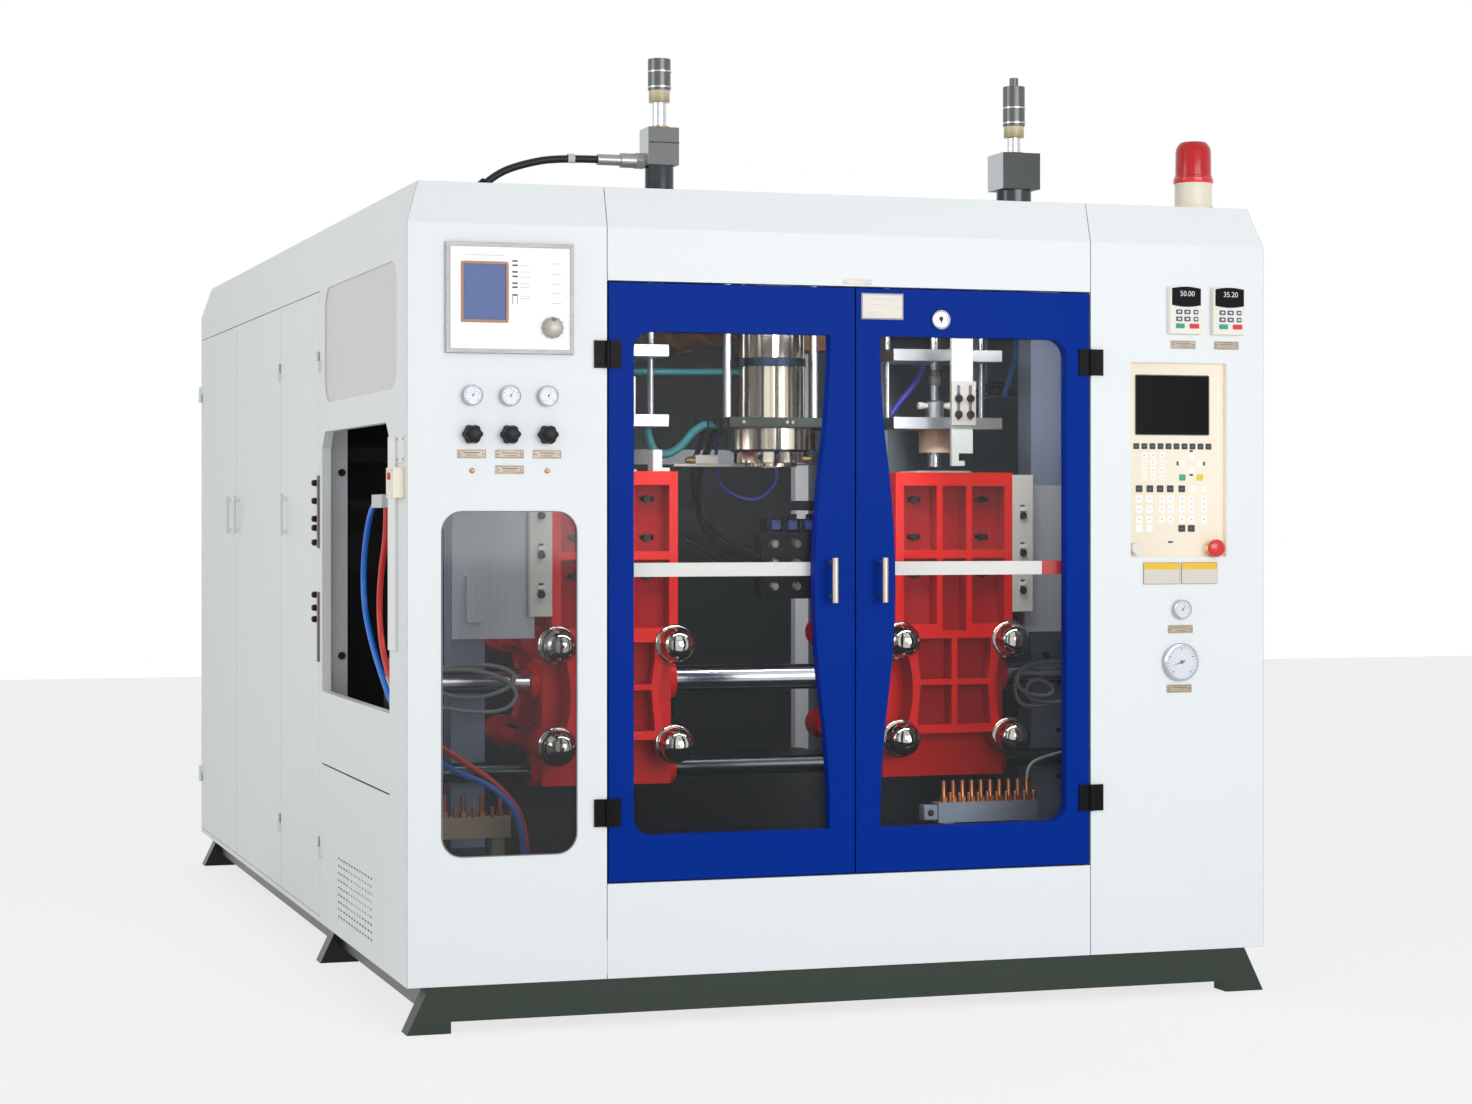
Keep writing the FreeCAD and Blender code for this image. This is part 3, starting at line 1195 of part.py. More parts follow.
def gauge(x, z, radius):
    """A round pressure gauge with a raised rim."""
    rim = 0.12 * radius
    depth = s.gauge_proud
    outline = [
        (0, 0), (radius, 0), (radius, depth - 2), (radius - 2, depth), (radius - rim, depth),
        (radius - rim, depth - 3), (0, depth - 3),
    ]
    return turned(outline, x, FRONT, z, "-y")


small_gauge_x = RIGHT - s.small_gauge_across
large_gauge_x = RIGHT - s.large_gauge_across
gauges = [gauge(x, s.gauge_level, s.gauge_radius) for x in gauge_x]
gauges.append(gauge(small_gauge_x, s.small_gauge_level, s.gauge_radius))
gauges.append(gauge(large_gauge_x, s.large_gauge_level, s.large_gauge_radius))
node("pressure_gauges", together(*gauges))


def plate(x, z, width, height):
    """A bare name plate on the front."""
    return box(about(x, width / 2), (FRONT - s.tag_thick, FRONT), about(z, height / 2))


keypad_x = [RIGHT - s.keypad_first + s.keypad_pitch * step for step in range(2)]
plates = [plate(x, s.tag_level, s.tag_width, s.tag_height) for x in gauge_x]
plates.append(plate(gauge_x[1], s.low_tag_level, s.tag_width, s.tag_height))
plates += [plate(x, s.keypad_tag_level, s.tag_width, s.tag_height) for x in keypad_x]
plates.append(plate(small_gauge_x, s.small_gauge_level - s.gauge_radius - s.tag_height * 1.3, s.tag_width,
                    s.tag_height))
plates.append(plate(large_gauge_x, s.large_gauge_level - s.large_gauge_radius - s.tag_height, s.tag_width,
                    s.tag_height))
for step in range(2):
    card_x = RIGHT - s.card_across + s.card_pitch * step
    plates.append(plate(card_x, s.card_level, s.card_width, s.card_height))
node("nameplates", together(*plates))
keypad_z = (s.keypad_low, s.keypad_high)
keypads = []
for x in keypad_x:
    shell = box(about(x, s.keypad_width / 2), (FRONT - s.keypad_proud, FRONT), keypad_z)
    low = s.keypad_low + (s.keypad_high - s.keypad_low) * 0.62
    screen = box(about(x, s.keypad_width * 0.34), (FRONT - s.keypad_proud - 1, FRONT - s.keypad_proud + 2),
                 (low, s.keypad_high - 12))
    keypads.append(carved(shell, screen))
node("drive_keypads", together(*keypads))

recess = FRONT + s.panel_recess
tray_x, tray_z = inset(panel_x, -8), inset(panel_z, -8)
tray = box(tray_x, (FRONT + s.sheet_thick, recess + s.sheet_thick), tray_z)
well = box(inset(panel_x, 1), (FRONT + 1, recess), inset(panel_z, 1))
screen_x = (RIGHT - s.screen_left, RIGHT - s.screen_left + s.screen_width)
screen_cut = box(screen_x, (recess - 0.5, recess + 1.5), (s.screen_low, s.screen_high))
stop_x = RIGHT - s.stop_across
stop_hole = rod(stop_x, (recess - 1, recess + s.sheet_thick + 1), s.stop_level, s.stop_stem + s.run_fit)
tray = carved(carved(tray, well), screen_cut, stop_hole)
collar = carved(rod(stop_x, (FRONT, recess), s.stop_level, s.stop_collar),
                rod(stop_x, (FRONT - 1, recess + 1), s.stop_level, s.stop_stem + s.run_fit))
plug = rod(RIGHT - s.plug_across, (FRONT - 2, recess), s.stop_level, s.plug_radius)
node("operator_panel", together(tray, collar, plug))
stop_back = FRONT - s.stop_travel - 1
stop_head = turned([(0, 0), (s.stop_radius - 1, 0), (s.stop_radius, 3), (s.stop_radius, 8),
                    (s.stop_radius - 7, 14),
                    (0, 15)], stop_x, stop_back, s.stop_level, "-y")
node("stop_button", joined(stop_head, rod(stop_x, (stop_back - 3, recess + 16), s.stop_level, s.stop_stem)))

strip_y = (at(s.strip_front), at(s.strip_front) + s.strip_width)
strip = box((LEFT - 6, LEFT), strip_y, (s.strip_low, s.strip_high))
switch = box((LEFT - s.switch_proud, LEFT), (at(s.switch_front), at(s.switch_front) + s.switch_length),
             (s.switch_low, s.switch_low + s.switch_height))
node("hatch_fittings", together(strip, switch))

beacon_x = RIGHT - s.beacon_across
beacon_base = [(0, 0), (s.beacon_radius, 0), (s.beacon_radius, s.beacon_base_height),
               (0, s.beacon_base_height)]
lens_low = s.roof_level + s.beacon_base_height
lens_half = s.beacon_radius - 3
lens = [(0, 0), (lens_half, 0), (lens_half - 3, s.beacon_dome_height - 30),
        (lens_half - 13, s.beacon_dome_height - 8),
        (lens_half - 26, s.beacon_dome_height), (0, s.beacon_dome_height)]
node("beacon", together(turned(beacon_base, beacon_x, at(s.beacon_back), s.roof_level),
                        turned(lens, beacon_x, at(s.beacon_back), lens_low)))

# ----------------------------------------------------------------------------------------------
# Clamp units
# ----------------------------------------------------------------------------------------------
BAR_LEVELS = (s.lower_bar_level, s.upper_bar_level)
front_mould_y = (PARTING - s.mould_thick, PARTING)
rear_mould_y = (PARTING, PARTING + s.mould_thick)
front_platen_y = (front_mould_y[0] - s.platen_thick, front_mould_y[0])
rear_platen_y = (rear_mould_y[1], rear_mould_y[1] + s.platen_thick)
cross_low = rear_platen_y[1] + s.clamp_stroke * 2 + s.crosshead_spare
crosshead_y = (cross_low, cross_low + s.crosshead_thick)
boss_end = crosshead_y[1] + s.boss_length
piston_y = (crosshead_y[1] + s.piston_gap, crosshead_y[1] + s.piston_gap + s.piston_length)
cylinder_y = (crosshead_y[1], piston_y[1] + s.clamp_stroke * 2 + s.piston_gap / 2 + s.cylinder_cap)
waist_half = (s.upper_bar_level - s.lower_bar_level) / 2 - s.waist_reach
waist_bow = s.platen_foot - s.platen_waist
waist_bend = (waist_half * waist_half + waist_bow * waist_bow) / (waist_bow * 2)


def bars_at(x):
    """The middles of a station's four tie bars."""
    return [(x + s.bar_across * way, level) for way in (-1, 1) for level in BAR_LEVELS]


def waisted(x, upper):
    """The outline of a casting with a waist between its tie bars. Upper lists what lies above them."""
    low = s.lower_bar_level + s.waist_reach
    high = s.upper_bar_level - s.waist_reach
    foot = s.platen_foot
    return [(x - foot, s.platen_low), (x + foot, s.platen_low), (x + foot, low, waist_bend, -1),
            (x + foot, high),
            *upper, (x - foot, high, waist_bend, -1), (x - foot, low)]


def platen(x, y, pocket_y, bar_hole):
    """A ribbed platen with lugs for the tie bars."""
    half = s.platen_half
    upper = [(x + half, s.upper_bar_level), (x + half, s.platen_high), (x - half, s.platen_high),
             (x - half, s.upper_bar_level)]
    casting = joined(profile("XZ_Plane", y, waisted(x, upper)),
                     *[rod(bar_x, y, level, s.lug_radius) for bar_x, level in bars_at(x)])
    edge = s.rib / 2
    pockets = []
    lowest = s.upper_bar_level + s.lug_radius
    top = s.platen_high - s.platen_top_flange
    outer = (s.rib_across + edge, half - s.flange)
    for span in ((x + outer[0], x + outer[1]), (x - outer[1], x - outer[0])):
        pockets.append(box(span, pocket_y, (lowest, s.ledge_low)))
        pockets.append(box(span, pocket_y, (s.ledge_high, top)))
    middle = about(x, s.rib_across - edge)
    pockets.append(box(middle, pocket_y, (s.cross_rib_high, s.ledge_low)))
    pockets.append(box(middle, pocket_y, (s.ledge_high, top)))
    narrow = s.platen_waist - s.flange
    wide = s.bar_across - s.lug_radius - 8
    upper_pocket = [(edge, s.low_rib_high), (narrow, s.low_rib_high),
                    (wide, s.upper_bar_level - s.lug_radius),
                    (wide, s.cross_rib_low), (edge, s.cross_rib_low)]
    lower_pocket = [(edge, s.platen_low + s.flange), (wide, s.platen_low + s.flange),
                    (wide, s.lower_bar_level + s.lug_radius), (narrow, s.low_rib_low),
                    (edge, s.low_rib_low)]
    for outline in (upper_pocket, lower_pocket):
        pockets.append(profile("XZ_Plane", pocket_y, [(x + across, up) for across, up in outline]))
        pockets.append(profile("XZ_Plane", pocket_y, [(x - across, up) for across, up in outline]))
    casting = carved(casting, *pockets)
    bores = [rod(bar_x, inset(y, -1), level, bar_hole) for bar_x, level in bars_at(x)]
    return carved(casting, *bores)


def mould_half(x, y):
    """Half of a bottle mould with its neck plate."""
    block = box(about(x, s.mould_half), y, (s.mould_low, s.mould_high))
    neck_plate = box(about(x, s.striker_half), y, (s.mould_high, s.mould_high + s.striker_height))
    neck = s.pin_tip_radius + s.neck_room
    bottle = [
        (0, s.bottle_low), (s.bottle_radius - 6, s.bottle_low), (s.bottle_radius, s.bottle_low + 8),
        (s.bottle_radius, s.bottle_shoulder), (s.bottle_radius - 10, s.bottle_shoulder + 30),
        (neck, s.bottle_neck_low), (neck, s.mould_high + s.striker_height + 1),
        (0, s.mould_high + s.striker_height + 1),
    ]
    return carved(joined(block, neck_plate), turned(bottle, x, PARTING, 0))


for name, side in SIDES:
    x = s.station_across * side
    pocket_y = (front_platen_y[0] - 1, front_platen_y[1] - s.platen_web)
    front_platen = platen(x, front_platen_y, pocket_y, s.bar_radius)
    slots, bolts = [], []
    for way in (-1, 1):
        for step in range(3):
            level = s.bolt_low + s.bolt_pitch * step
            bolt_x = x + s.bolt_across * way
            slots.append(box(about(bolt_x, s.slot_length / 2), (pocket_y[1] - 1, front_platen_y[1] + 1),
                             about(level, s.slot_width / 2)))
            flat = s.bolt_radius * 0.866
            corner = s.bolt_radius / 2
            head = [(bolt_x + s.bolt_radius, level), (bolt_x + corner, level + flat),
                    (bolt_x - corner, level + flat),
                    (bolt_x - s.bolt_radius, level), (bolt_x - corner, level - flat),
                    (bolt_x + corner, level - flat)]
            bolts.append(profile("XZ_Plane", (pocket_y[1] - s.bolt_head, pocket_y[1]), head))
    node(name + "_front_platen", together(carved(front_platen, *slots), *bolts))
    node(name + "_front_mould", mould_half(x, front_mould_y))
    node(name + "_rear_mould", mould_half(x, rear_mould_y))

    pocket_y = (rear_platen_y[0] + s.platen_web, rear_platen_y[1] + 1)
    rear_platen = platen(x, rear_platen_y, pocket_y, s.bar_radius + s.run_fit)
    hub = rod(x, (rear_platen_y[0] + s.platen_web - 1, rear_platen_y[1]), s.clamp_axis_level,
              s.clamp_rod_radius + 12)
    clamp_rod = joined(rod(x, (rear_platen_y[1], piston_y[1]), s.clamp_axis_level, s.clamp_rod_radius),
                       rod(x, piston_y, s.clamp_axis_level, s.cylinder_bore - s.run_fit))
    node(name + "_rear_platen", together(joined(rear_platen, hub), clamp_rod))

    bars = []
    for bar_x, level in bars_at(x):
        dome = turned([(0, 0), (s.dome_radius, 0), (s.dome_radius, s.dome_seat, s.dome_radius, 1),
                       (0, s.dome_seat + s.dome_radius)], bar_x, front_platen_y[0], level, "-y")
        bars.append(joined(rod(bar_x, (front_platen_y[0] - s.dome_seat, boss_end + 5), level,
                               s.bar_radius), dome))
    top = s.upper_bar_level + 20
    crosshead = joined(
        profile("XZ_Plane", crosshead_y, waisted(x, [(x + s.platen_foot, top), (x - s.platen_foot, top)])),
        *[rod(bar_x, (crosshead_y[0], boss_end), level, s.lug_radius) for bar_x, level in bars_at(x)],
    )
    crosshead = carved(
        crosshead,
        rod(x, inset(crosshead_y, -1), s.clamp_axis_level, s.clamp_rod_radius + s.run_fit),
        *[rod(bar_x, (crosshead_y[0] - 1, boss_end + 1), level, s.bar_radius)
          for bar_x, level in bars_at(x)],
    )
    cylinder = carved(
        rod(x, cylinder_y, s.clamp_axis_level, s.cylinder_radius),
        rod(x, (cylinder_y[0] - 1, cylinder_y[1] - s.cylinder_cap), s.clamp_axis_level, s.cylinder_bore),
    )
    node(name + "_clamp_frame", together(*bars, crosshead, cylinder))

    saddle_y = about(PARTING, s.saddle_thick / 2)
    reach = about(x, s.saddle_half + s.bearing_reach)
    shaft_runs = ((s.upper_shaft_level, s.upper_shaft_radius), (s.lower_shaft_level, s.lower_shaft_radius))
    saddle = joined(
        box(about(x, s.saddle_half), saddle_y, (s.saddle_low, s.saddle_high)),
        *[rod(reach, PARTING, level, radius + s.bearing_wall) for level, radius in shaft_runs],
        *[rod(bar_x, saddle_y, level, s.bar_radius + s.bearing_wall) for bar_x, level in bars_at(x)],
    )
    node(name + "_carriage", carved(
        saddle,
        *[rod(inset(reach, -1), PARTING, level, radius + s.run_fit) for level, radius in shaft_runs],
        *[rod(bar_x, inset(saddle_y, -1), level, s.bar_radius + s.run_fit) for bar_x, level in bars_at(x)],
    ))

    strip_y = (front_platen_y[0], front_platen_y[0] + s.arm_thick)
    wing_y = (strip_y[1], strip_y[1] + s.arm_thick)
    out = s.station_across + s.platen_half
    strip_x = span_at(side, out, out + s.arm_strip_width)
    wing_start = out + s.arm_strip_width - s.arm_lap
    wing_x = span_at(side, wing_start, wing_start + s.arm_plate_width)
    strip = box(strip_x, strip_y, (s.arm_strip_low, s.platen_high - 5))
    slot_x = inset(strip_x, s.arm_strip_width / 2 - s.slot_width / 2)
    strip_slots = [box(slot_x, inset(strip_y, -1),
                       about(s.arm_strip_low + 60 + s.bolt_pitch * step, s.slot_length / 2))
                   for step in range(3)]
    wing = box(wing_x, wing_y, (s.arm_plate_low, s.arm_plate_high))
    pieces = [joined(carved(strip, *strip_slots), wing)]
    if side < 0:
        switch_x = about(x - s.arm_switch_across, s.arm_switch_width / 2)
        pieces.append(box(switch_x, (wing_y[0] - 18, wing_y[0]), (s.arm_switch_low, s.arm_switch_high)))
    node(name + "_side_plate", together(*pieces))

# ----------------------------------------------------------------------------------------------
# Blow stations
# ----------------------------------------------------------------------------------------------
stations = []
PIN_FIT = s.pin_radius + s.run_fit
ROD_FIT = s.ram_rod_radius + s.run_fit
for name, side in SIDES:
    x = s.station_across * side
    plate_y = (at(s.station_front), at(s.station_front) + s.station_depth)
    rods_x = [x + (s.station_half - s.guide_inset) * way for way in (-1, 1)]
    for level in (s.lower_plate_level, s.upper_plate_level):
        span = (level, level + s.station_plate_thick)
        holes = [rod(rod_x, PARTING, inset(span, -1), s.guide_radius) for rod_x in rods_x]
        holes.append(rod(x, PARTING, inset(span, -1), PIN_FIT))
        stations.append(carved(box(about(x, s.station_half), plate_y, span), *holes))
    for rod_x in rods_x:
        stations.append(rod(rod_x, PARTING, (s.lower_plate_level, s.rail_level), s.guide_radius))
    bush_z = (s.lower_plate_level - s.bush_length, s.lower_plate_level)
    stations.append(carved(rod(x, PARTING, bush_z, s.bush_radius),
                           rod(x, PARTING, inset(bush_z, -1), PIN_FIT)))
    half = s.hook_half
    low = s.hook_low
    hook = profile("XZ_Plane", (at(s.hook_front), at(s.hook_front) + s.hook_thick), [
        (x - half, low), (x + 6, low), (x + 6, low + 12), (x - 9, low + 12), (x - 9, low + 30),
        (x + half, low + 30),
        (x + half, s.hook_high), (x - half, s.hook_high),
    ])
    spacers = [box(about(x, 12), (at(s.hook_front) + s.hook_thick, plate_y[0]),
                   (level, level + s.station_plate_thick))
               for level in (s.lower_plate_level, s.upper_plate_level)]
    stations.append(joined(hook, *spacers))

    ram_radius, head_side, head_level, rod_show, sleeve_height = RAMS[name]
    back = at(s.ram_back)
    head_top = head_level + s.head_height
    head = box(about(x, head_side / 2), about(back, head_side / 2), (head_level, head_top))
    ram = joined(rod(x, back, (s.ram_low, head_level + 1), ram_radius), head)
    stations.append(carved(ram, rod(x, back, (s.ram_low - 1, head_top + 1), ROD_FIT)))
    if side < 0:
        hose_x = x - head_side / 2
        fitting_z = head_level + 10
        nut = rod((hose_x - s.nut_length, hose_x), back, fitting_z, s.nut_radius)
        ferrule = rod((hose_x - s.nut_length - s.ferrule_length, hose_x - s.nut_length), back, fitting_z,
                      s.ferrule_radius)
        stations.append(joined(nut, ferrule))

    yoke_top = s.yoke_level + s.yoke_height
    band_low = head_top + rod_show
    sleeve_low = band_low + s.band_height
    sleeve_top = sleeve_low + sleeve_height
    pin_parts = [
        rod(x, PARTING, (s.pin_tip_level, s.pin_tip_level + s.pin_tip_length), s.pin_tip_radius),
        rod(x, PARTING, (s.pin_tip_level, s.yoke_level + 1), s.pin_radius),
        box(about(x, s.yoke_width / 2), (back - s.yoke_width / 2, PARTING + s.yoke_width / 2),
            (s.yoke_level, yoke_top)),
        rod(x, back, (yoke_top - 1, sleeve_low + 1), s.ram_rod_radius),
        rod(x, back, (band_low, sleeve_low), s.sleeve_radius - 2),
        rod(x, back, (sleeve_low, sleeve_top), s.sleeve_radius),
    ]
    if side > 0:
        pin_parts.append(rod(x, back, (sleeve_top, sleeve_top + s.stud_height), s.stud_radius))
    node(name + "_blow_pin", joined(*pin_parts))
gland_x = LEFT + s.gland_across
gland_z = s.roof_level + s.gland_rise
gland = doc.addObject("Part::Cylinder", "Gland")
bind(gland, "Radius", s.roof_hose_radius + 5)
bind(gland, "Height", s.gland_rise * 4)
place(gland, gland_x, at(s.ram_back), gland_z)
gland.Placement.Rotation = FreeCAD.Rotation(V(0, 0, 1), V(-1, 0, -s.gland_slope.number))
under_roof = box(about(gland_x, 80), about(at(s.ram_back), 40), (s.roof_level - 80, s.roof_level))
stations.append(carved(gland, under_roof))
node("blow_stations", together(*stations))

# ----------------------------------------------------------------------------------------------
# Die head and extruder
# ----------------------------------------------------------------------------------------------
lip_top = s.die_lip_level + s.die_lip_height
gap_top = s.die_lip_level + s.die_gap_depth
plate_top = s.head_plate_level + s.head_plate_thick
band_top = s.head_band_level + s.head_band_height
head_outline = [
    (s.die_bore, s.die_lip_level), (s.die_lip_radius, s.die_lip_level), (s.die_lip_radius, lip_top),
    (s.die_ring_radius, lip_top), (s.die_ring_radius, s.die_ring_high),
    (s.die_neck_radius, s.die_ring_high),
    (s.die_neck_radius, s.die_collar_level), (s.die_collar_radius, s.die_collar_level),
    (s.die_collar_radius, s.head_plate_level), (s.head_radius, s.head_plate_level),
    (s.head_radius, s.head_band_level),
    (s.head_radius + 4, s.head_band_level), (s.head_radius + 4, band_top), (s.head_radius, band_top),
    (s.head_radius, s.head_top), (0, s.head_top), (0, gap_top), (s.die_bore, gap_top),
]
head_plate = box(about(0, s.head_plate_half), about(PARTING, s.head_plate_half),
                 (s.head_plate_level, plate_top))
hangers = [rod(s.hanger_across * way, PARTING, (plate_top - 1, s.rail_level), s.hanger_radius)
           for way in (-1, 1)]
mandrel = rod(0, PARTING, (s.die_lip_level - 2, gap_top + 1), s.mandrel_radius)
node("die_head", joined(turned(head_outline, 0, PARTING, 0), head_plate, mandrel, *hangers))

barrel = joined(
    rod(0, (PARTING, at(s.gearbox_at)), s.barrel_level, s.barrel_radius),
    *[rod(0, (PARTING + s.heater_length + s.heater_pitch * step,
              PARTING + s.heater_length * 2 + s.heater_pitch * step),
          s.barrel_level, s.heater_radius) for step in range(4)],
)
barrel = carved(barrel, rod(0, PARTING, inset((s.head_plate_level, s.head_top), -1), s.head_radius))
barrel = carved(barrel, rod(0, at(s.hopper_at), (s.barrel_level, s.barrel_level + s.heater_radius),
                            s.hopper_throat))
gearbox_y = (at(s.gearbox_at), at(s.gearbox_at) + s.gearbox_length)
drive = joined(
    box(about(0, s.gearbox_half), gearbox_y, (s.gearbox_low, s.gearbox_high)),
    rod(0, (gearbox_y[1], gearbox_y[1] + s.motor_length), s.motor_level, s.motor_radius),
)
throat_z = (s.barrel_level, s.barrel_level + s.heater_radius)
funnel_z = (throat_z[1], s.hopper_rim_level - 50)
wall = s.hopper_wall
hopper_y = at(s.hopper_at)
hopper = joined(
    rod(0, hopper_y, throat_z, s.hopper_throat + wall),
    cone(0, hopper_y, funnel_z, s.hopper_throat + wall, s.hopper_radius),
    rod(0, hopper_y, (funnel_z[1], s.hopper_rim_level), s.hopper_radius),
)
hollow = joined(
    rod(0, hopper_y, (throat_z[0] - 1, throat_z[1]), s.hopper_throat),
    cone(0, hopper_y, funnel_z, s.hopper_throat, s.hopper_radius - wall),
    rod(0, hopper_y, (funnel_z[1], s.hopper_rim_level + 1), s.hopper_radius - wall),
)
hopper = carved(hopper, hollow)
hopper = carved(hopper, rod(0, (hopper_y - s.hopper_radius, hopper_y + s.hopper_radius), s.barrel_level,
                            s.barrel_radius))
node("extruder", together(barrel, drive, hopper))

# ----------------------------------------------------------------------------------------------
# Services
# ----------------------------------------------------------------------------------------------
manifolds = []
manifold_y = about(at(s.manifold_back), s.manifold_thick / 2)
for start, count in ((s.right_manifold_at, 10), (LEFT + s.left_manifold_room, 6)):
    low = s.deck_level + s.manifold_leg
    top = low + s.manifold_height
    parts = [box((start, start + s.manifold_length), manifold_y, (low, top))]
    for foot in (start + 12, start + s.manifold_length - 42):
        parts.append(box((foot, foot + 30), inset(manifold_y, 6), (s.deck_level, low + 1)))
    pitch = (s.manifold_length - 40) / (count - 1)
    for step in range(count):
        parts.append(rod(start + 20 + pitch * step, at(s.manifold_back), (top - 1, top + s.nozzle_length),
                         s.nozzle_radius))
    manifolds.append(joined(*parts))
node("water_manifolds", together(*manifolds))

tank_x = (RIGHT - s.tank_side_room - s.tank_width, RIGHT - s.tank_side_room)
tank_start = bridge_y[1] + s.tank_room
r = s.tank_round
tank = profile("XZ_Plane", (tank_start, tank_start + s.tank_length), [
    (tank_x[0], s.deck_level), (tank_x[1], s.deck_level), (tank_x[1], s.tank_high - r, r, 1),
    (tank_x[1] - r, s.tank_high), (tank_x[0] + r, s.tank_high, r, 1), (tank_x[0], s.tank_high - r),
])
block = box((s.valve_block_left, s.valve_block_left + s.valve_block_width),
            (at(s.bridge_at) - s.valve_block_thick, at(s.bridge_at)),
            (s.valve_block_low, s.valve_block_high))
node("hydraulic_unit", together(tank, block))

plate_x = (-POST_IN, -POST_IN + s.air_plate_thick)
foot_y = (at(s.post_inset) + 8, at(s.sheet_thick) + s.post_width)
air_parts = [
    box(plate_x, (foot_y[0], at(s.air_plate_back)), (s.air_plate_low, s.air_plate_high)),
    box((-RAIL_IN, plate_x[1]), foot_y, (s.air_plate_low, s.air_plate_high)),
]
for step in range(5):
    low = s.air_plate_low + 80 + s.air_valve_pitch * step
    valve_y = (at(s.air_plate_back) - 80, at(s.air_plate_back) - 10)
    air_parts.append(box((plate_x[0] - 28, plate_x[0]), valve_y, (low, low + s.air_valve_height)))
    air_parts.append(rod((plate_x[0] - 40, plate_x[0] - 27), at(s.air_plate_back) - 45,
                         low + s.air_valve_height / 2, 9))
arm_z = (s.air_arm_level, s.air_arm_level + 30)
air_parts.append(box(plate_x, (at(s.air_plate_back) - 1, at(s.air_arm_back)), arm_z))
air_parts.append(box((plate_x[0] - 36, plate_x[1]), (at(s.air_arm_back) - 120, at(s.air_arm_back)), arm_z))
node("air_valves", joined(*air_parts))


# ----------------------------------------------------------------------------------------------
# Hoses: straight runs joined by round bends
# ----------------------------------------------------------------------------------------------
def hose(label, radius, points):
    """A round hose through points, each as X, depth behind the front panels and height."""
    corners = [V(x, FRONT.number + depth, z) for x, depth, z in points]
    edges = []
    start = corners[0]
    bends = []
    for before, corner, after in zip(corners, corners[1:], corners[2:]):
        first = (corner - before).normalize()
        second = (after - corner).normalize()
        turn = first.getAngle(second)
        cut = 0.45 * min((corner - before).Length, (after - corner).Length)
        bend = cut / math.tan(turn / 2)
        bends.append(bend)
        inward = (second - first).normalize()
        middle = corner + inward * (bend / math.cos(turn / 2) - bend)
        end, begin = corner - first * cut, corner + second * cut
        edges.append(Part.LineSegment(start, end).toShape())
        edges.append(Part.Arc(end, middle, begin).toShape())
        start = begin
    edges.append(Part.LineSegment(start, corners[-1]).toShape())
    path = Part.Wire(edges)
    ring = Part.Wire([Part.makeCircle(radius, corners[0], (corners[1] - corners[0]).normalize())])
    tube = doc.addObject("Part::Feature", "Hose")
    tube.Shape = path.makePipeShell([ring], True, False)
    tube.Placement = FreeCAD.Placement()
    print(label, "bends", [round(bend) for bend in bends], "smallest allowed", radius * 10,
          "volume share", round(tube.Shape.Volume / (math.pi * radius ** 2 * path.Length), 4))
    return node(label, tube)


ferrule_end = (-s.station_across - s.left_head_side / 2 - s.nut_length - s.ferrule_length).number
gland_end = (gland_x.number, gland_z.number)
fall = s.gland_slope.number
roof_z = (s.left_head_level + 10).number
hose("roof_hose", s.roof_hose_radius.number, [
    (ferrule_end, s.ram_back.number, roof_z), (ferrule_end - 90, s.ram_back.number, roof_z),
    (ferrule_end - 162, s.ram_back.number, roof_z - 15),
    (gland_end[0] + 26, s.ram_back.number, gland_end[1] + 26 * fall),
    (gland_end[0], s.ram_back.number, gland_end[1]),
])
left = LEFT.number
hose("red_hose", s.hose_radius.number, [
    (left + 48, 470, s.air_arm_level.number), (left + 48, 470, 1050), (left + 48, 540, 962),
    (left + 48, 560, 855),
    (left + 50, 500, 755), (left + 60, 380, 672), (left + 96, 265, 606), (left + 165, 210, 556),
    (left + 245, 200, 503), (left + 308, 200, 420), (left + 308, 200, s.deck_level.number),
])
hose_level = s.air_arm_level.number + 15
hose("blue_hose", s.hose_radius.number, [
    (left + 48, s.air_arm_back.number, hose_level), (left + 48, 640, hose_level), (left + 47, 742, 1010),
    (left + 47, 745, 885), (left + 47, 640, 795), (left + 50, 520, 720), (left + 56, 415, 652),
    (left + 82, 295, 590), (left + 140, 195, 535), (left + 225, 168, 505), (left + 292, 168, 430),
    (left + 292, 168, s.deck_level.number),
])
# ----------------------------------------------------------------------------------------------
# Check and export
# ----------------------------------------------------------------------------------------------
doc.recompute()
faults = [thing.Label for thing in doc.Objects if "Invalid" in thing.State or "Error" in thing.State]
for thing in NODES:
    if thing.Shape.isNull() or not thing.Shape.isValid() or not thing.Shape.Solids:
        faults.append(thing.Label)
if faults:
    raise RuntimeError("these don't build: " + ", ".join(faults))
os.makedirs("parts", exist_ok=True)
for thing in NODES:
    thing.Shape.exportStep(f"parts/{thing.Label}.step")
    bounds = thing.Shape.BoundBox
    print(thing.Label, len(thing.Shape.Solids), "solids", round(thing.Shape.Volume / 1000), "cm3",
          [round(value)
           for value in (bounds.XMin, bounds.XMax, bounds.YMin, bounds.YMax, bounds.ZMin, bounds.ZMax)])
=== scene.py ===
import json
import math

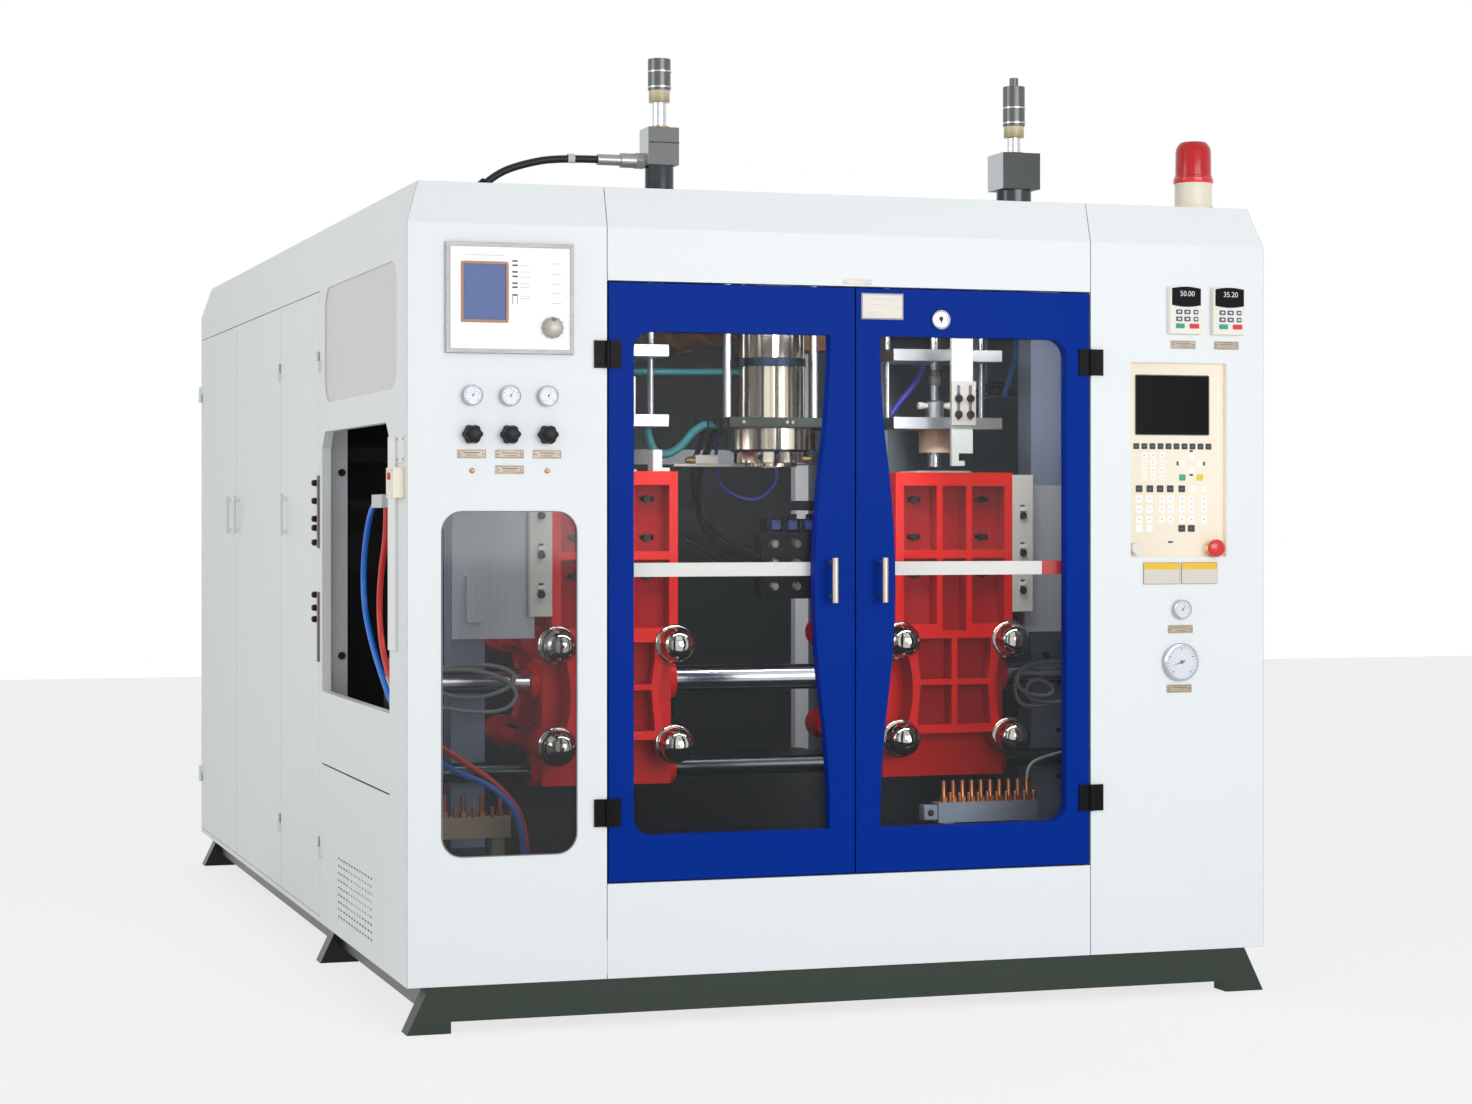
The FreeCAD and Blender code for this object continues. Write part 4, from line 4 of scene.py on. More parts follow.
import bmesh
import bpy
import numpy as np
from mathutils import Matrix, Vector


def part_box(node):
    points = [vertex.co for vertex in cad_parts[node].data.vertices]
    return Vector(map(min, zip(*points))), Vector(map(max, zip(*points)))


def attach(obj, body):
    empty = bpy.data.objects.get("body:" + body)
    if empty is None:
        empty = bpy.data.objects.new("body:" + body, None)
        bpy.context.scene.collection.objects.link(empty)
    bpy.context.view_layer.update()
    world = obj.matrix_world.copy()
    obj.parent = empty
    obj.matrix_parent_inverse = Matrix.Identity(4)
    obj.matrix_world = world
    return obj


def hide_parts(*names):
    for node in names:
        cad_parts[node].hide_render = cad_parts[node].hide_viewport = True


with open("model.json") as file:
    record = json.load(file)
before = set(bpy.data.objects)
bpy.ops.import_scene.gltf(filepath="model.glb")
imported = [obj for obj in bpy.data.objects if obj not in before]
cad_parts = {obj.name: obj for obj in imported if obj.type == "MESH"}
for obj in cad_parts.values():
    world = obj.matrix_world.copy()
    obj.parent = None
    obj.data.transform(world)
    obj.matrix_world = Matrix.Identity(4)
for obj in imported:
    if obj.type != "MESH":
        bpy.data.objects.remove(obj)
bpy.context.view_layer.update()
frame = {"nodes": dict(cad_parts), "record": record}

# ------------------------------------------------------------------------------
# Camera, floor and light
# The camera stands to the left of the machine at about chest height and looks level. The floor
# and the sky are plain and pale.
HORIZON_SHIFT = -0.0259
camera = bpy.data.objects.new("camera", bpy.data.cameras.new("camera"))
camera.data.lens = 72.65
camera.data.sensor_width = 36
camera.data.shift_y = HORIZON_SHIFT
camera.location = (-2.23984, -7.74526, 1.09625)
camera.rotation_euler = (math.radians(90), 0, math.radians(-17.726))
bpy.context.scene.collection.objects.link(camera)
bpy.context.scene.camera = camera
bpy.context.scene.view_settings.view_transform = "Standard"


def join(tree, *wires):
    """Links in a node tree, each from an output of one node to an input of another."""
    for node, output, other, socket in wires:
        tree.links.new(node.outputs[output], other.inputs[socket])


def set_inputs(node, **values):
    """Plain values on a node's inputs. An underscore in a name stands for a space."""
    for name, value in values.items():
        node.inputs[name.replace("_", " ")].default_value = value


def seen_directly(tree):
    """A mask that is 1 for rays from the camera, by mirrors and through glass."""
    path = tree.nodes.new("ShaderNodeLightPath")
    total = path.outputs["Is Camera Ray"]
    for name in ("Is Glossy Ray", "Is Transmission Ray"):
        larger = tree.nodes.new("ShaderNodeMath")
        larger.operation = "MAXIMUM"
        tree.links.new(total, larger.inputs[0])
        tree.links.new(path.outputs[name], larger.inputs[1])
        total = larger.outputs[0]
    return total


SKY_STRENGTH = 0.56  # of the light that the sky gives the object
world = bpy.data.worlds.new("studio")
bpy.context.scene.world = world
world.use_nodes = True
sky = world.node_tree
sky_light, sky_seen = sky.nodes["Background"], sky.nodes.new("ShaderNodeBackground")
set_inputs(sky_light, Color=(1, 1, 1, 1), Strength=SKY_STRENGTH)
set_inputs(sky_seen, Color=(1, 1, 1, 1))
sky_mix = sky.nodes.new("ShaderNodeMixShader")
sky.links.new(seen_directly(sky), sky_mix.inputs[0])
join(sky, (sky_light, 0, sky_mix, 1), (sky_seen, 0, sky_mix, 2),
     (sky_mix, 0, sky.nodes["World Output"], "Surface"))

FLOOR_HALF, FLOOR_NEAR, FLOOR_FAR = 16, -10, 12.4
floor_mesh = bpy.data.meshes.new("floor")
corners = ((-FLOOR_HALF, FLOOR_NEAR), (FLOOR_HALF, FLOOR_NEAR), (FLOOR_HALF, FLOOR_FAR),
           (-FLOOR_HALF, FLOOR_FAR))
floor_mesh.from_pydata([(x, y, 0) for x, y in corners], [], [(0, 1, 2, 3)])
floor = bpy.data.objects.new("floor", floor_mesh)
bpy.context.scene.collection.objects.link(floor)
floor_paint = bpy.data.materials.new("pale_floor")
floor_paint.use_nodes = True
ground = floor_paint.node_tree
set_inputs(ground.nodes["Principled BSDF"], Base_Color=(0.8, 0.8, 0.8, 1), Roughness=0.9)
floor_glow = ground.nodes.new("ShaderNodeEmission")
set_inputs(floor_glow, Color=(0.96, 0.96, 0.96, 1))
floor_share = ground.nodes.new("ShaderNodeMath")
floor_share.operation = "MULTIPLY"
floor_share.inputs[1].default_value = 0.8
floor_mix = ground.nodes.new("ShaderNodeMixShader")
ground.links.new(seen_directly(ground), floor_share.inputs[0])
join(ground, (floor_share, 0, floor_mix, 0), (ground.nodes["Principled BSDF"], 0, floor_mix, 1),
     (floor_glow, 0, floor_mix, 2), (floor_mix, 0, ground.nodes["Material Output"], "Surface"))
floor_mesh.materials.append(floor_paint)


def lamp(name, place, target, size, power):
    """A square lamp of that size in metres, hidden from the camera, that shines at a point."""
    light = bpy.data.lights.new(name, "AREA")
    light.shape = "RECTANGLE"
    light.size, light.size_y = size
    light.energy = power
    holder = bpy.data.objects.new(name, light)
    holder.location = place
    holder.rotation_euler = (Vector(target) - Vector(place)).to_track_quat("-Z", "Y").to_euler()
    holder.visible_camera = False
    bpy.context.scene.collection.objects.link(holder)
    return holder


lamps = [
    lamp("front_lamp", (1.0, -6.5, 1.9), (0.1, -1.2, 0.9), (3.5, 2.0), 105),
    lamp("side_lamp", (-6.0, -2.0, 2.2), (-1.0, 0.2, 0.9), (3.0, 2.0), 64),
    lamp("door_lamp", (0.0, -1.44, 1.60), (0.0, -0.9, 0.7), (1.5, 0.1), 7),
    lamp("rear_lamp", (0.45, 0.75, 1.30), (0.58, 1.62, 0.8), (0.5, 0.4), 9),
]


# ------------------------------------------------------------------------------
# Air hoses and cables
# Plastic hoses pushed on their fittings. Each is one smooth line with a round section.
def tone(red, green, blue):
    """A colour on the renderer's linear scale from the 0 to 255 scale of a screen.

    Each share c becomes c / 12.92 up to 0.04045, and ((c + 0.055) / 1.055) ^ 2.4 above it.
    """
    share = np.array([red, green, blue]) / 255
    bright = ((share + 0.055) / 1.055) ** 2.4
    return (*np.where(share <= 0.04045, share / 12.92, bright), 1.0)


def effect(name, inputs, outputs):
    """An empty shader node group with named sockets, and the nodes of its two ends."""
    group = bpy.data.node_groups.new(name, "ShaderNodeTree")
    for way, sockets in (("INPUT", inputs), ("OUTPUT", outputs)):
        for socket, kind in sockets.items():
            group.interface.new_socket(socket, in_out=way, socket_type="NodeSocket" + kind)
    return group, group.nodes.new("NodeGroupInput"), group.nodes.new("NodeGroupOutput")


def film_group():
    """Paint and plastic: the colour wanders a little in broad patches, and the skin has a fine peel."""
    group, given, put = effect("paint_film", {"Colour": "Color", "Patches": "Float", "Peel": "Float"},
                               {"Colour": "Color", "Normal": "Vector"})
    nodes = group.nodes
    place = nodes.new("ShaderNodeTexCoord")
    broad, fine = nodes.new("ShaderNodeTexNoise"), nodes.new("ShaderNodeTexNoise")
    set_inputs(broad, Scale=3.5, Detail=3)
    set_inputs(fine, Scale=420)
    darker, mix = nodes.new("ShaderNodeHueSaturation"), nodes.new("ShaderNodeMix")
    set_inputs(darker, Value=0.82)
    mix.data_type = "RGBA"
    share = nodes.new("ShaderNodeMath")
    share.operation = "MULTIPLY"
    bump = nodes.new("ShaderNodeBump")
    set_inputs(bump, Distance=0.0004)
    join(group, (place, "Object", broad, "Vector"), (place, "Object", fine, "Vector"),
         (given, "Colour", darker, "Color"), (broad, "Fac", share, 0), (given, "Patches", share, 1),
         (share, 0, mix, "Factor"), (given, "Colour", mix, "A"), (darker, "Color", mix, "B"),
         (fine, "Fac", bump, "Height"), (given, "Peel", bump, "Strength"),
         (mix, "Result", put, "Colour"), (bump, "Normal", put, "Normal"))
    return group


paint_film = film_group()


def covered(name, colour, group, **values):
    """A material whose shader takes its colour and normal, and what else it puts out, from a node group."""
    material = bpy.data.materials.new(name)
    material.use_nodes = True
    nodes = material.node_tree.nodes
    shader, skin = nodes["Principled BSDF"], nodes.new("ShaderNodeGroup")
    skin.node_tree = group
    set_inputs(skin, Colour=tone(*colour), **values)
    for socket in skin.outputs.keys():
        join(material.node_tree, (skin, socket, shader, "Base Color" if socket == "Colour" else socket))
    material.diffuse_color = tone(*colour)
    return material, shader


def film(name, colour, roughness=0.4, coat=0.0, patches=0.25, peel=0.15, alpha=1.0, shine=0.5):
    """A material for paint, enamel, plastic or rubber."""
    material, shader = covered(name, colour, paint_film, Patches=patches, Peel=peel)
    set_inputs(shader, Roughness=roughness, Coat_Weight=coat, Coat_Roughness=0.08, Alpha=alpha,
               Specular_IOR_Level=shine)
    return material


def line_length(curve):
    """The length of a curve's own line: the sum of its short straight steps."""
    bare = curve.data.copy()
    bare.bevel_depth = 0
    holder = bpy.data.objects.new("line", bare)
    line = bpy.data.meshes.new_from_object(holder)
    points = np.empty(len(line.vertices) * 3)
    line.vertices.foreach_get("co", points)
    steps = np.diff(points.reshape(-1, 3), axis=0)
    bpy.data.objects.remove(holder)
    bpy.data.meshes.remove(line)
    bpy.data.curves.remove(bare)
    return float(np.linalg.norm(steps, axis=1).sum())


def hose(name, radius, points, material, replaced=()):
    """A round hose along a smooth line steered by points in metres, held at both ends."""
    curve = bpy.data.curves.new(name, "CURVE")
    curve.dimensions = "3D"
    curve.bevel_depth = radius
    curve.bevel_resolution = 3
    curve.use_fill_caps = True
    spline = curve.splines.new("NURBS")
    spline.points.add(len(points) - 1)
    spline.points.foreach_set("co", [value for point in points for value in (*point, 1)])
    spline.order_u = 3
    spline.use_endpoint_u = True
    curve.materials.append(material)
    thing = bpy.data.objects.new(name, curve)
    bpy.context.scene.collection.objects.link(thing)
    if replaced:
        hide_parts(*replaced)
    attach(thing, "cabinet")
    line_length(thing)
    return thing


hose_black = film("hose_black", (28, 29, 31), 0.35, shine=0.25)
hose_red = film("hose_red", (214, 48, 38), 0.3)
hose_blue = film("hose_blue", (28, 112, 214), 0.3)
hose("roof_air_hose", 0.0085, [
    (-0.561, -1.5, 1.867), (-0.651, -1.5, 1.867), (-0.723, -1.5, 1.852), (-0.781, -1.5, 1.83062),
    (-0.807, -1.5, 1.808),
], hose_black, replaced=["roof_hose"])
hose("red_air_hose", 0.007, [
    (-0.952, -1.13, 1.11), (-0.952, -1.13, 1.05), (-0.952, -1.06, 0.962), (-0.952, -1.04, 0.855),
    (-0.95, -1.1, 0.755), (-0.94, -1.22, 0.672), (-0.904, -1.335, 0.606), (-0.835, -1.39, 0.556),
    (-0.755, -1.4, 0.503), (-0.692, -1.4, 0.42), (-0.692, -1.4, 0.32),
], hose_red, replaced=["red_hose"])
hose("blue_air_hose", 0.007, [
    (-0.952, -1.04, 1.125), (-0.952, -0.96, 1.125), (-0.953, -0.858, 1.01), (-0.953, -0.855, 0.885),
    (-0.953, -0.96, 0.795), (-0.95, -1.08, 0.72), (-0.944, -1.185, 0.652), (-0.918, -1.305, 0.59),
    (-0.86, -1.405, 0.535), (-0.775, -1.432, 0.505), (-0.708, -1.432, 0.43), (-0.708, -1.432, 0.32),
], hose_blue, replaced=["blue_hose"])

# ------------------------------------------------------------------------------
# Base frame
# Steel beams and rails welded into one frame in one paint. The front beam is coloured a lighter dark
# green as painted light and the rails nearly black as painted shade. Levelling bolts of bare steel
# stand in the feet of the beams.
CORNER = np.array([*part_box("front_left_panel")[0][:2], 0.0])  # the cabinet's front left edge on the floor
WIDTH = 2000  # from here on, pieces are given in millimetres to the right, back and up from that edge
BODIES = {node: body for body, nodes in frame["record"]["behaviour"]["bodies"].items() for node in nodes}


def finished(mesh, first, others):
    """Gives the mesh its first material, and each other one where its test of the faces' middles holds."""
    middles = np.empty(len(mesh.polygons) * 3)
    mesh.polygons.foreach_get("center", middles)
    middles = (middles.reshape(-1, 3) - CORNER) * 1000
    index = np.zeros(len(mesh.polygons), dtype=np.int32)
    mesh.materials.clear()
    mesh.materials.append(first)
    for step, (material, test) in enumerate(others, 1):
        mesh.materials.append(material)
        index[test(middles)] = step
    mesh.polygons.foreach_set("material_index", index)


SHARP = math.radians(35)  # edges that turn by more are sharp, or rounded where a piece asks for it


def placed(name, mesh, width, body, replaced):
    """The piece of a finished mesh, with small rounds of that width along its sharp edges."""
    mesh.shade_smooth()
    mesh.set_sharp_from_angle(angle=SHARP)
    thing = bpy.data.objects.new(name, mesh)
    bpy.context.scene.collection.objects.link(thing)
    if width:
        rounds = thing.modifiers.new("rounded_edges", "BEVEL")
        rounds.width = width / 1000
        rounds.segments = 2
        rounds.limit_method = "ANGLE"
        rounds.angle_limit = SHARP
    if replaced:
        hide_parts(*replaced)
    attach(thing, body)
    return thing


def softened(node, width, first, *others):
    """A merged copy of a CAD node with small rounds of that width along its edges, which stands for it."""
    mesh = frame["nodes"][node].data.copy()
    mesh.name = node + "_made"
    work = bmesh.new()
    work.from_mesh(mesh)
    bmesh.ops.remove_doubles(work, verts=work.verts, dist=2e-6)
    bmesh.ops.dissolve_limit(work, angle_limit=math.radians(0.4), verts=work.verts, edges=work.edges)
    work.to_mesh(mesh)
    work.free()
    finished(mesh, first, others)
    return placed(node + "_made", mesh, width, BODIES[node], [node])


def place_test(low, high):
    """A test for face middles between a low and a high corner."""
    low, high = np.array(low) - 0.01, np.array(high) + 0.01
    return lambda middles: np.all((middles >= low) & (middles <= high), axis=1)


# One paint: the lit front beam is given a lighter green and the shaded rails near black, as painted light
# and shade.
beam_painted_light_green = film("beam_painted_light_green", (52, 63, 54), 0.42, patches=0.5, peel=0.3, shine=0.25)
rail_painted_shade_black = film("rail_painted_shade_black", (24, 25, 28), 0.3, patches=0.4, peel=0.3, shine=0.3)
softened("base_frame", 2.5, rail_painted_shade_black, (beam_painted_light_green, place_test((-5, -1, -1), (WIDTH + 5, 65, 101))))


def slab(x, y, z):
    """A block: the eight corners between a low and a high value on each axis."""
    corners = np.array([(a, b, c) for c in z for b in y for a in x], dtype=float)
    return corners, [(0, 2, 3, 1), (4, 5, 7, 6), (0, 1, 5, 4), (1, 3, 7, 5), (3, 2, 6, 7), (2, 0, 4, 6)]


AXES = {"x": (1, 2, 0), "y": (0, 2, 1), "z": (0, 1, 2), "-x": (1, 2, 0), "-y": (0, 2, 1)}


def spun(profile, centre, axis="z", around=32, flutes=0, depth=0.0):
    """A surface of revolution: each (radius, height) of the profile is carried round the axis.

    With flutes, a radius r becomes r - depth / 2 * (1 - cos(flutes * angle)).
    """
    profile = np.array(profile, dtype=float)
    angle = np.arange(around) * 2 * math.pi / around
    radius = profile[:, :1] - depth / 2 * (1 - np.cos(flutes * angle)) * (profile[:, :1] > 0)
    across, up, along = AXES[axis]
    points = np.zeros((len(profile), around, 3))
    points[..., across] = radius * np.cos(angle)
    points[..., up] = radius * np.sin(angle)
    points[..., along] = profile[:, 1:] * (-1 if axis.startswith("-") else 1)
    row, step = np.meshgrid(np.arange(len(profile) - 1), np.arange(around), indexing="ij")
    after = (step + 1) % around
    quads = np.stack([row * around + step, row * around + after, (row + 1) * around + after,
                      (row + 1) * around + step], axis=-1).reshape(-1, 4)
    return points.reshape(-1, 3) + np.array(centre, dtype=float), quads.tolist()


def prism(outline, span, axis="y"):
    """A flat outline of (across, up) points, carried from a low to a high value along an axis."""
    across, up, along = AXES[axis]
    outline = np.array(outline, dtype=float)
    count = len(outline)
    points = np.zeros((2, count, 3))
    points[..., across] = outline[:, 0]
    points[..., up] = outline[:, 1]
    points[0, :, along], points[1, :, along] = span
    sides = [(i, (i + 1) % count, (i + 1) % count + count, i + count) for i in range(count)]
    return points.reshape(-1, 3), sides + [tuple(range(count)), tuple(range(count, 2 * count))]


def disc(radius, low, high):
    """The profile of a round block between two heights."""
    return [(0, low), (radius, low), (radius, high), (0, high)]


def piece(name, shapes, material, body="cabinet", bevel=0.0, replaced=()):
    """One object from several shapes given in millimetres, closed, with its faces outwards."""
    points, faces, start = [], [], 0
    for corners, shape_faces in shapes:
        points.append(corners)
        faces += [tuple(index + start for index in face) for face in shape_faces]
        start += len(corners)
    mesh = bpy.data.meshes.new(name)
    mesh.from_pydata((np.concatenate(points) / 1000 + CORNER).tolist(), [], faces)
    work = bmesh.new()
    work.from_mesh(mesh)
    bmesh.ops.remove_doubles(work, verts=work.verts, dist=1e-6)
    bmesh.ops.dissolve_degenerate(work, edges=work.edges, dist=1e-7)
    bmesh.ops.recalc_face_normals(work, faces=work.faces)
    work.to_mesh(mesh)
    work.free()
    mesh.materials.append(material)
    return placed(name, mesh, bevel, body, replaced)


def metal_group():
    """Brushed metal: noise drawn out along one axis gives fine lines of lighter and rougher metal.

    Where the noise is n, the share of the darker colour is (n - 0.5) * Contrast + 0.5, kept between
    0 and 1, and the roughness rises by 0.22 * n.
    """
    group, given, put = effect("brushed_metal", {"Colour": "Color", "Lines": "Vector", "Roughness": "Float",
                                                 "Depth": "Float", "Contrast": "Float", "Dark": "Float"},
                               {"Colour": "Color", "Roughness": "Float", "Normal": "Vector"})
    nodes = group.nodes
    place, drawn, lines = [nodes.new("ShaderNode" + kind) for kind in ("TexCoord", "Mapping", "TexNoise")]
    set_inputs(lines, Scale=1, Detail=4)
    darker, mix, bump = [nodes.new("ShaderNode" + kind) for kind in ("HueSaturation", "Mix", "Bump")]
    mix.data_type = "RGBA"
    set_inputs(bump, Distance=0.0003)
    middle, sharper, back, spread, add = [nodes.new("ShaderNodeMath") for _ in range(5)]
    middle.operation, sharper.operation, back.operation = "SUBTRACT", "MULTIPLY", "ADD"
    spread.operation, add.operation = "MULTIPLY", "ADD"
    middle.inputs[1].default_value = back.inputs[1].default_value = 0.5
    spread.inputs[1].default_value = 0.22
    back.use_clamp = True
    join(group, (place, "Object", drawn, "Vector"), (given, "Lines", drawn, "Scale"),
         (drawn, "Vector", lines, "Vector"), (given, "Colour", darker, "Color"),
         (given, "Dark", darker, "Value"),
         (lines, "Fac", middle, 0), (middle, 0, sharper, 0), (given, "Contrast", sharper, 1),
         (sharper, 0, back, 0), (back, 0, mix, "Factor"), (given, "Colour", mix, "A"),
         (darker, "Color", mix, "B"),
         (lines, "Fac", spread, 0), (spread, 0, add, 0), (given, "Roughness", add, 1),
         (lines, "Fac", bump, "Height"), (given, "Depth", bump, "Strength"),
         (mix, "Result", put, "Colour"), (add, 0, put, "Roughness"), (bump, "Normal", put, "Normal"))
    return group


brushed_metal = metal_group()


def metal(name, colour, roughness=0.2, lines=(60, 60, 900), depth=0.1, metallic=1.0, contrast=1.0,
          dark=0.6):
    """A material for bare metal, with lines drawn out along the axis that has the smallest number."""
    material, shader = covered(name, colour, brushed_metal, Lines=lines, Roughness=roughness, Depth=depth,
                               Contrast=contrast, Dark=dark)
    set_inputs(shader, Metallic=metallic)
    return material


def hexagon(radius, across, up):
    """The six corners of a nut or bolt head."""
    return [(across + radius * math.cos(turn), up + radius * math.sin(turn))
            for turn in np.arange(6) * math.pi / 3]


foot_steel = metal("foot_steel", (150, 118, 86), 0.4, (80, 80, 80))
levelling = []
for foot_x in (38, WIDTH - 38):
    for foot_y in (33, 1094, 3198):
        levelling += [spun(disc(7, 26, 64), (foot_x, foot_y, 0)),
                      prism(hexagon(13, foot_x, foot_y), (0, 11), "z")]
piece("levelling_bolts", levelling, foot_steel)

# ------------------------------------------------------------------------------
# Cabinet panels
# Folded steel sheets with a satin powder coat, screwed to the machine frame. The roof is hidden
# by its folded edge. Air slots and the service hatch are cut in the left side. The inner faces of
# the roof and the rear wall are dark and that of the right wall grey, as painted shade in there,
# with a cream patch on the rear wall.
cabinet_white = film("cabinet_white", (236, 241, 244), 0.45, patches=0.08, peel=0.1)
# The left side, its doors and the left hinges take the front's coat a little darker, as painted shade.
side_white_painted_shade = film("side_white_painted_shade", (229, 234, 234), 0.5, patches=0.08, peel=0.1)
for node in ("front_left_panel", "front_right_panel", "header_panel", "sill_panel"):
    softened(node, 0.7, cabinet_white)
# Painted shade for the inner faces of the roof and the far walls.
inside_painted_shade_dark = film("inside_painted_shade_dark", (26, 28, 29), 0.7, patches=0.6, shine=0.15)
inside_painted_shade_grey = film("inside_painted_shade_grey", (84, 92, 98), 0.6, patches=0.5, shine=0.2)
inside_cream = film("inside_cream", (238, 232, 218), 0.6, patches=0.4, shine=0.2)
DEPTH = (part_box("rear_panel")[1][1] - CORNER[1]) * 1000
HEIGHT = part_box("roof_panel")[1][2] * 1000
UPRIGHT = 1640  # the walls stand upright up to here, and their folded edges lean in above
FOLD = 34  # of the roof's edge
softened("roof_panel", 0.7, cabinet_white,
         (inside_painted_shade_dark, place_test((FOLD, FOLD, 0), (WIDTH - FOLD, DEPTH - FOLD, HEIGHT - 1))))
softened("rear_panel", 0.7, cabinet_white,
         (inside_painted_shade_dark, place_test((0, 0, 0), (WIDTH, DEPTH - 1, UPRIGHT))),
         (inside_cream, place_test((1460, 0, 380), (1705, DEPTH - 1, 1260))))
softened("right_side_panel", 0.7, cabinet_white,
         (inside_painted_shade_grey, place_test((0, 0, 0), (WIDTH - 1, DEPTH, UPRIGHT))))
for node in ("left_side_panel", "cabinet_door_1", "cabinet_door_2", "cabinet_door_3"):
    softened(node, 0.7, side_white_painted_shade)

# ------------------------------------------------------------------------------
# Windows
# Flat sheets behind the panels: nearly clear in the doors, smoky in the left column and a
# clouded grey in the side.
clear_pane = film("clear_pane", (150, 158, 162), 0.04, patches=0, peel=0, alpha=0.03)
smoky_pane = film("smoky_pane", (52, 56, 60), 0.06, patches=0, peel=0, alpha=0.28)
clouded_pane = film("clouded_pane", (200, 200, 198), 0.3, patches=0.2, peel=0.05)
FAR = 1e5  # past the end of every piece


def between(axis, low=-FAR, high=FAR):
    """A test for face middles between two values on an axis."""
    along = AXES[axis][2]
    return lambda middles: (middles[:, along] > low) & (middles[:, along] < high)


for side in ("left", "right"):
    softened(side + "_door_pane", 0, clear_pane)
softened("window_panes", 0, clouded_pane, (smoky_pane, between("x", 60)))
rubber_edge = film("rubber_edge", (120, 124, 128), 0.6)


def edging(outline, width, span, axis):
    """A flat band round an outline, carried from a low to a high value along an axis.

    The band's outer edge is the outline moved outwards by the width along its own normals.
    """
    inner = np.array(outline, dtype=float)
    tangent = np.roll(inner, -1, axis=0) - np.roll(inner, 1, axis=0)
    tangent /= np.linalg.norm(tangent, axis=1, keepdims=True)
    outer = inner + np.stack([tangent[:, 1], -tangent[:, 0]], axis=1) * width
    count = len(inner)
    across, up, along = AXES[axis]
    points = np.zeros((4, count, 3))
    corners = ((inner, span[0]), (outer, span[0]), (outer, span[1]), (inner, span[1]))
    for level, (ring, height) in enumerate(corners):
        points[level, :, across], points[level, :, up] = ring.T
        points[level, :, along] = height
    faces = []
    for low in range(0, 4 * count, count):
        high = (low + count) % (4 * count)
        faces += [(low + i, low + (i + 1) % count, high + (i + 1) % count, high + i) for i in range(count)]
    return points.reshape(-1, 3), faces


def round_rectangle(across, up, radius, steps=8):
    """The points of a rectangle with quarter circles at its corners, anticlockwise."""
    turn = np.arange(steps + 1) / steps * math.pi / 2
    middles = ((across[1] - radius, up[1] - radius), (across[0] + radius, up[1] - radius),
               (across[0] + radius, up[0] + radius), (across[1] - radius, up[0] + radius))
    return [(x + radius * math.cos(start + angle), z + radius * math.sin(start + angle))
            for (x, z), start in zip(middles, np.arange(4) * math.pi / 2) for angle in turn]


trim = edging(round_rectangle((75, 366), (373, 1100), 43), 2.2, (-1.2, 4), "y")
piece("column_window_trim", [trim], rubber_edge)

# ------------------------------------------------------------------------------
# Front doors
# Two folded steel frames with a blue gloss coat. Each has a clear pane, a white guard bar, a bar
# handle and two black hinges. The right one carries the lock and a bare plate.
door_blue = film("door_blue", (3, 47, 146), 0.35, patches=0.06, peel=0.08, shine=0.03)
guard_white = film("guard_white", (236, 236, 232), 0.35)
guard_red = film("guard_red", (196, 44, 40), 0.35)
hinge_black = film("hinge_black", (18, 18, 20), 0.36, shine=0.08)
handle_steel = metal("handle_steel", (214, 205, 190), 0.28, (300, 300, 20), 0.05)


def both(*tests):
    """A test that holds where all of several do."""
    return lambda middles: np.all([test(middles) for test in tests], axis=0)


for side in ("left", "right"):
    softened(side + "_door", 1.2, door_blue)
    softened(side + "_door_fittings", 0.8, hinge_black, (guard_white, between("y", 25)),
             (handle_steel, both(between("x", 900, 1100), between("y", high=2))))
piece("guard_end", [slab((1460, 1514), (34.6, 51.4), (959.6, 990.4))], guard_red,
      "right_door", 0.6)
softened("hinge_pins", 0.5, side_white_painted_shade, (hinge_black, between("x", 300)))
HINGE_LEVELS = (456, 1438)
for side, across in (("left", -1), ("right", 1)):
    for body, way in (("cabinet", 1), (side + "_door", -1)):
        x = WIDTH / 2 + across * (565 + 15 * way)
        screws = [spun([(0, -0.5), (4.2, -0.5), (3.6, 1.2), (0, 1.4)], (x, -5, level + rise), "-y", 16)
                  for level in HINGE_LEVELS for rise in (-19, 19)]
        piece(f"{side}_hinge_screws_on_{body}", screws, hinge_black, body)
lock_chrome = metal("lock_chrome", (205, 208, 214), 0.12, (200, 200, 200), 0.03)
softened("door_lock", 0.8, lock_chrome)
# A near black slot and disc in the lock stand for the keyway, as painted shade in it.
keyhole_painted_shade = film("keyhole_painted_shade", (14, 14, 16), 0.5)
piece("lock_keyway", [slab((1198.2, 1201.8), (-6.6, -5), (1519, 1535)),
                      spun(disc(5.5, -0.4, 0.5), (1200, -6, 1529), "-y", 20)],
      keyhole_painted_shade, "door_lock")
rim = [(14, -1), (21.5, -1), (21.5, 1.6), (19, 3), (14.5, 3), (14, 1.5)]
piece("lock_rim", [spun(rim, (1200, -6, 1527), "-y", 40)], lock_chrome, "door_lock")
plate_silver = metal("plate_silver", (206, 200, 192), 0.34, (20, 300, 500), 0.06, 0.35, dark=0.8)
plate_edge = film("plate_edge", (150, 152, 156), 0.4)
piece("door_plate", [slab((1013, 1112), (-1.6, 0), (1525, 1583))], plate_edge,
      "right_door", 0.3)
piece("door_plate_face", [slab((1016, 1109), (-2.1, -1.5), (1528, 1580))], plate_silver,
      "right_door", 0.2)
piece("header_plate", [slab((971, 1037), (-1.6, 0), (1601, 1612))], plate_silver,
      bevel=0.3)
screw_steel = metal("screw_steel", (176, 174, 170), 0.25, (300, 300, 300))
piece("header_plate_screws", [spun([(0, 0), (3.2, 0), (2.4, 1.6), (0, 1.8)], (x, -1.6, 1606.5), "-y", 14)
                              for x in (977, 1031)], screw_steel)

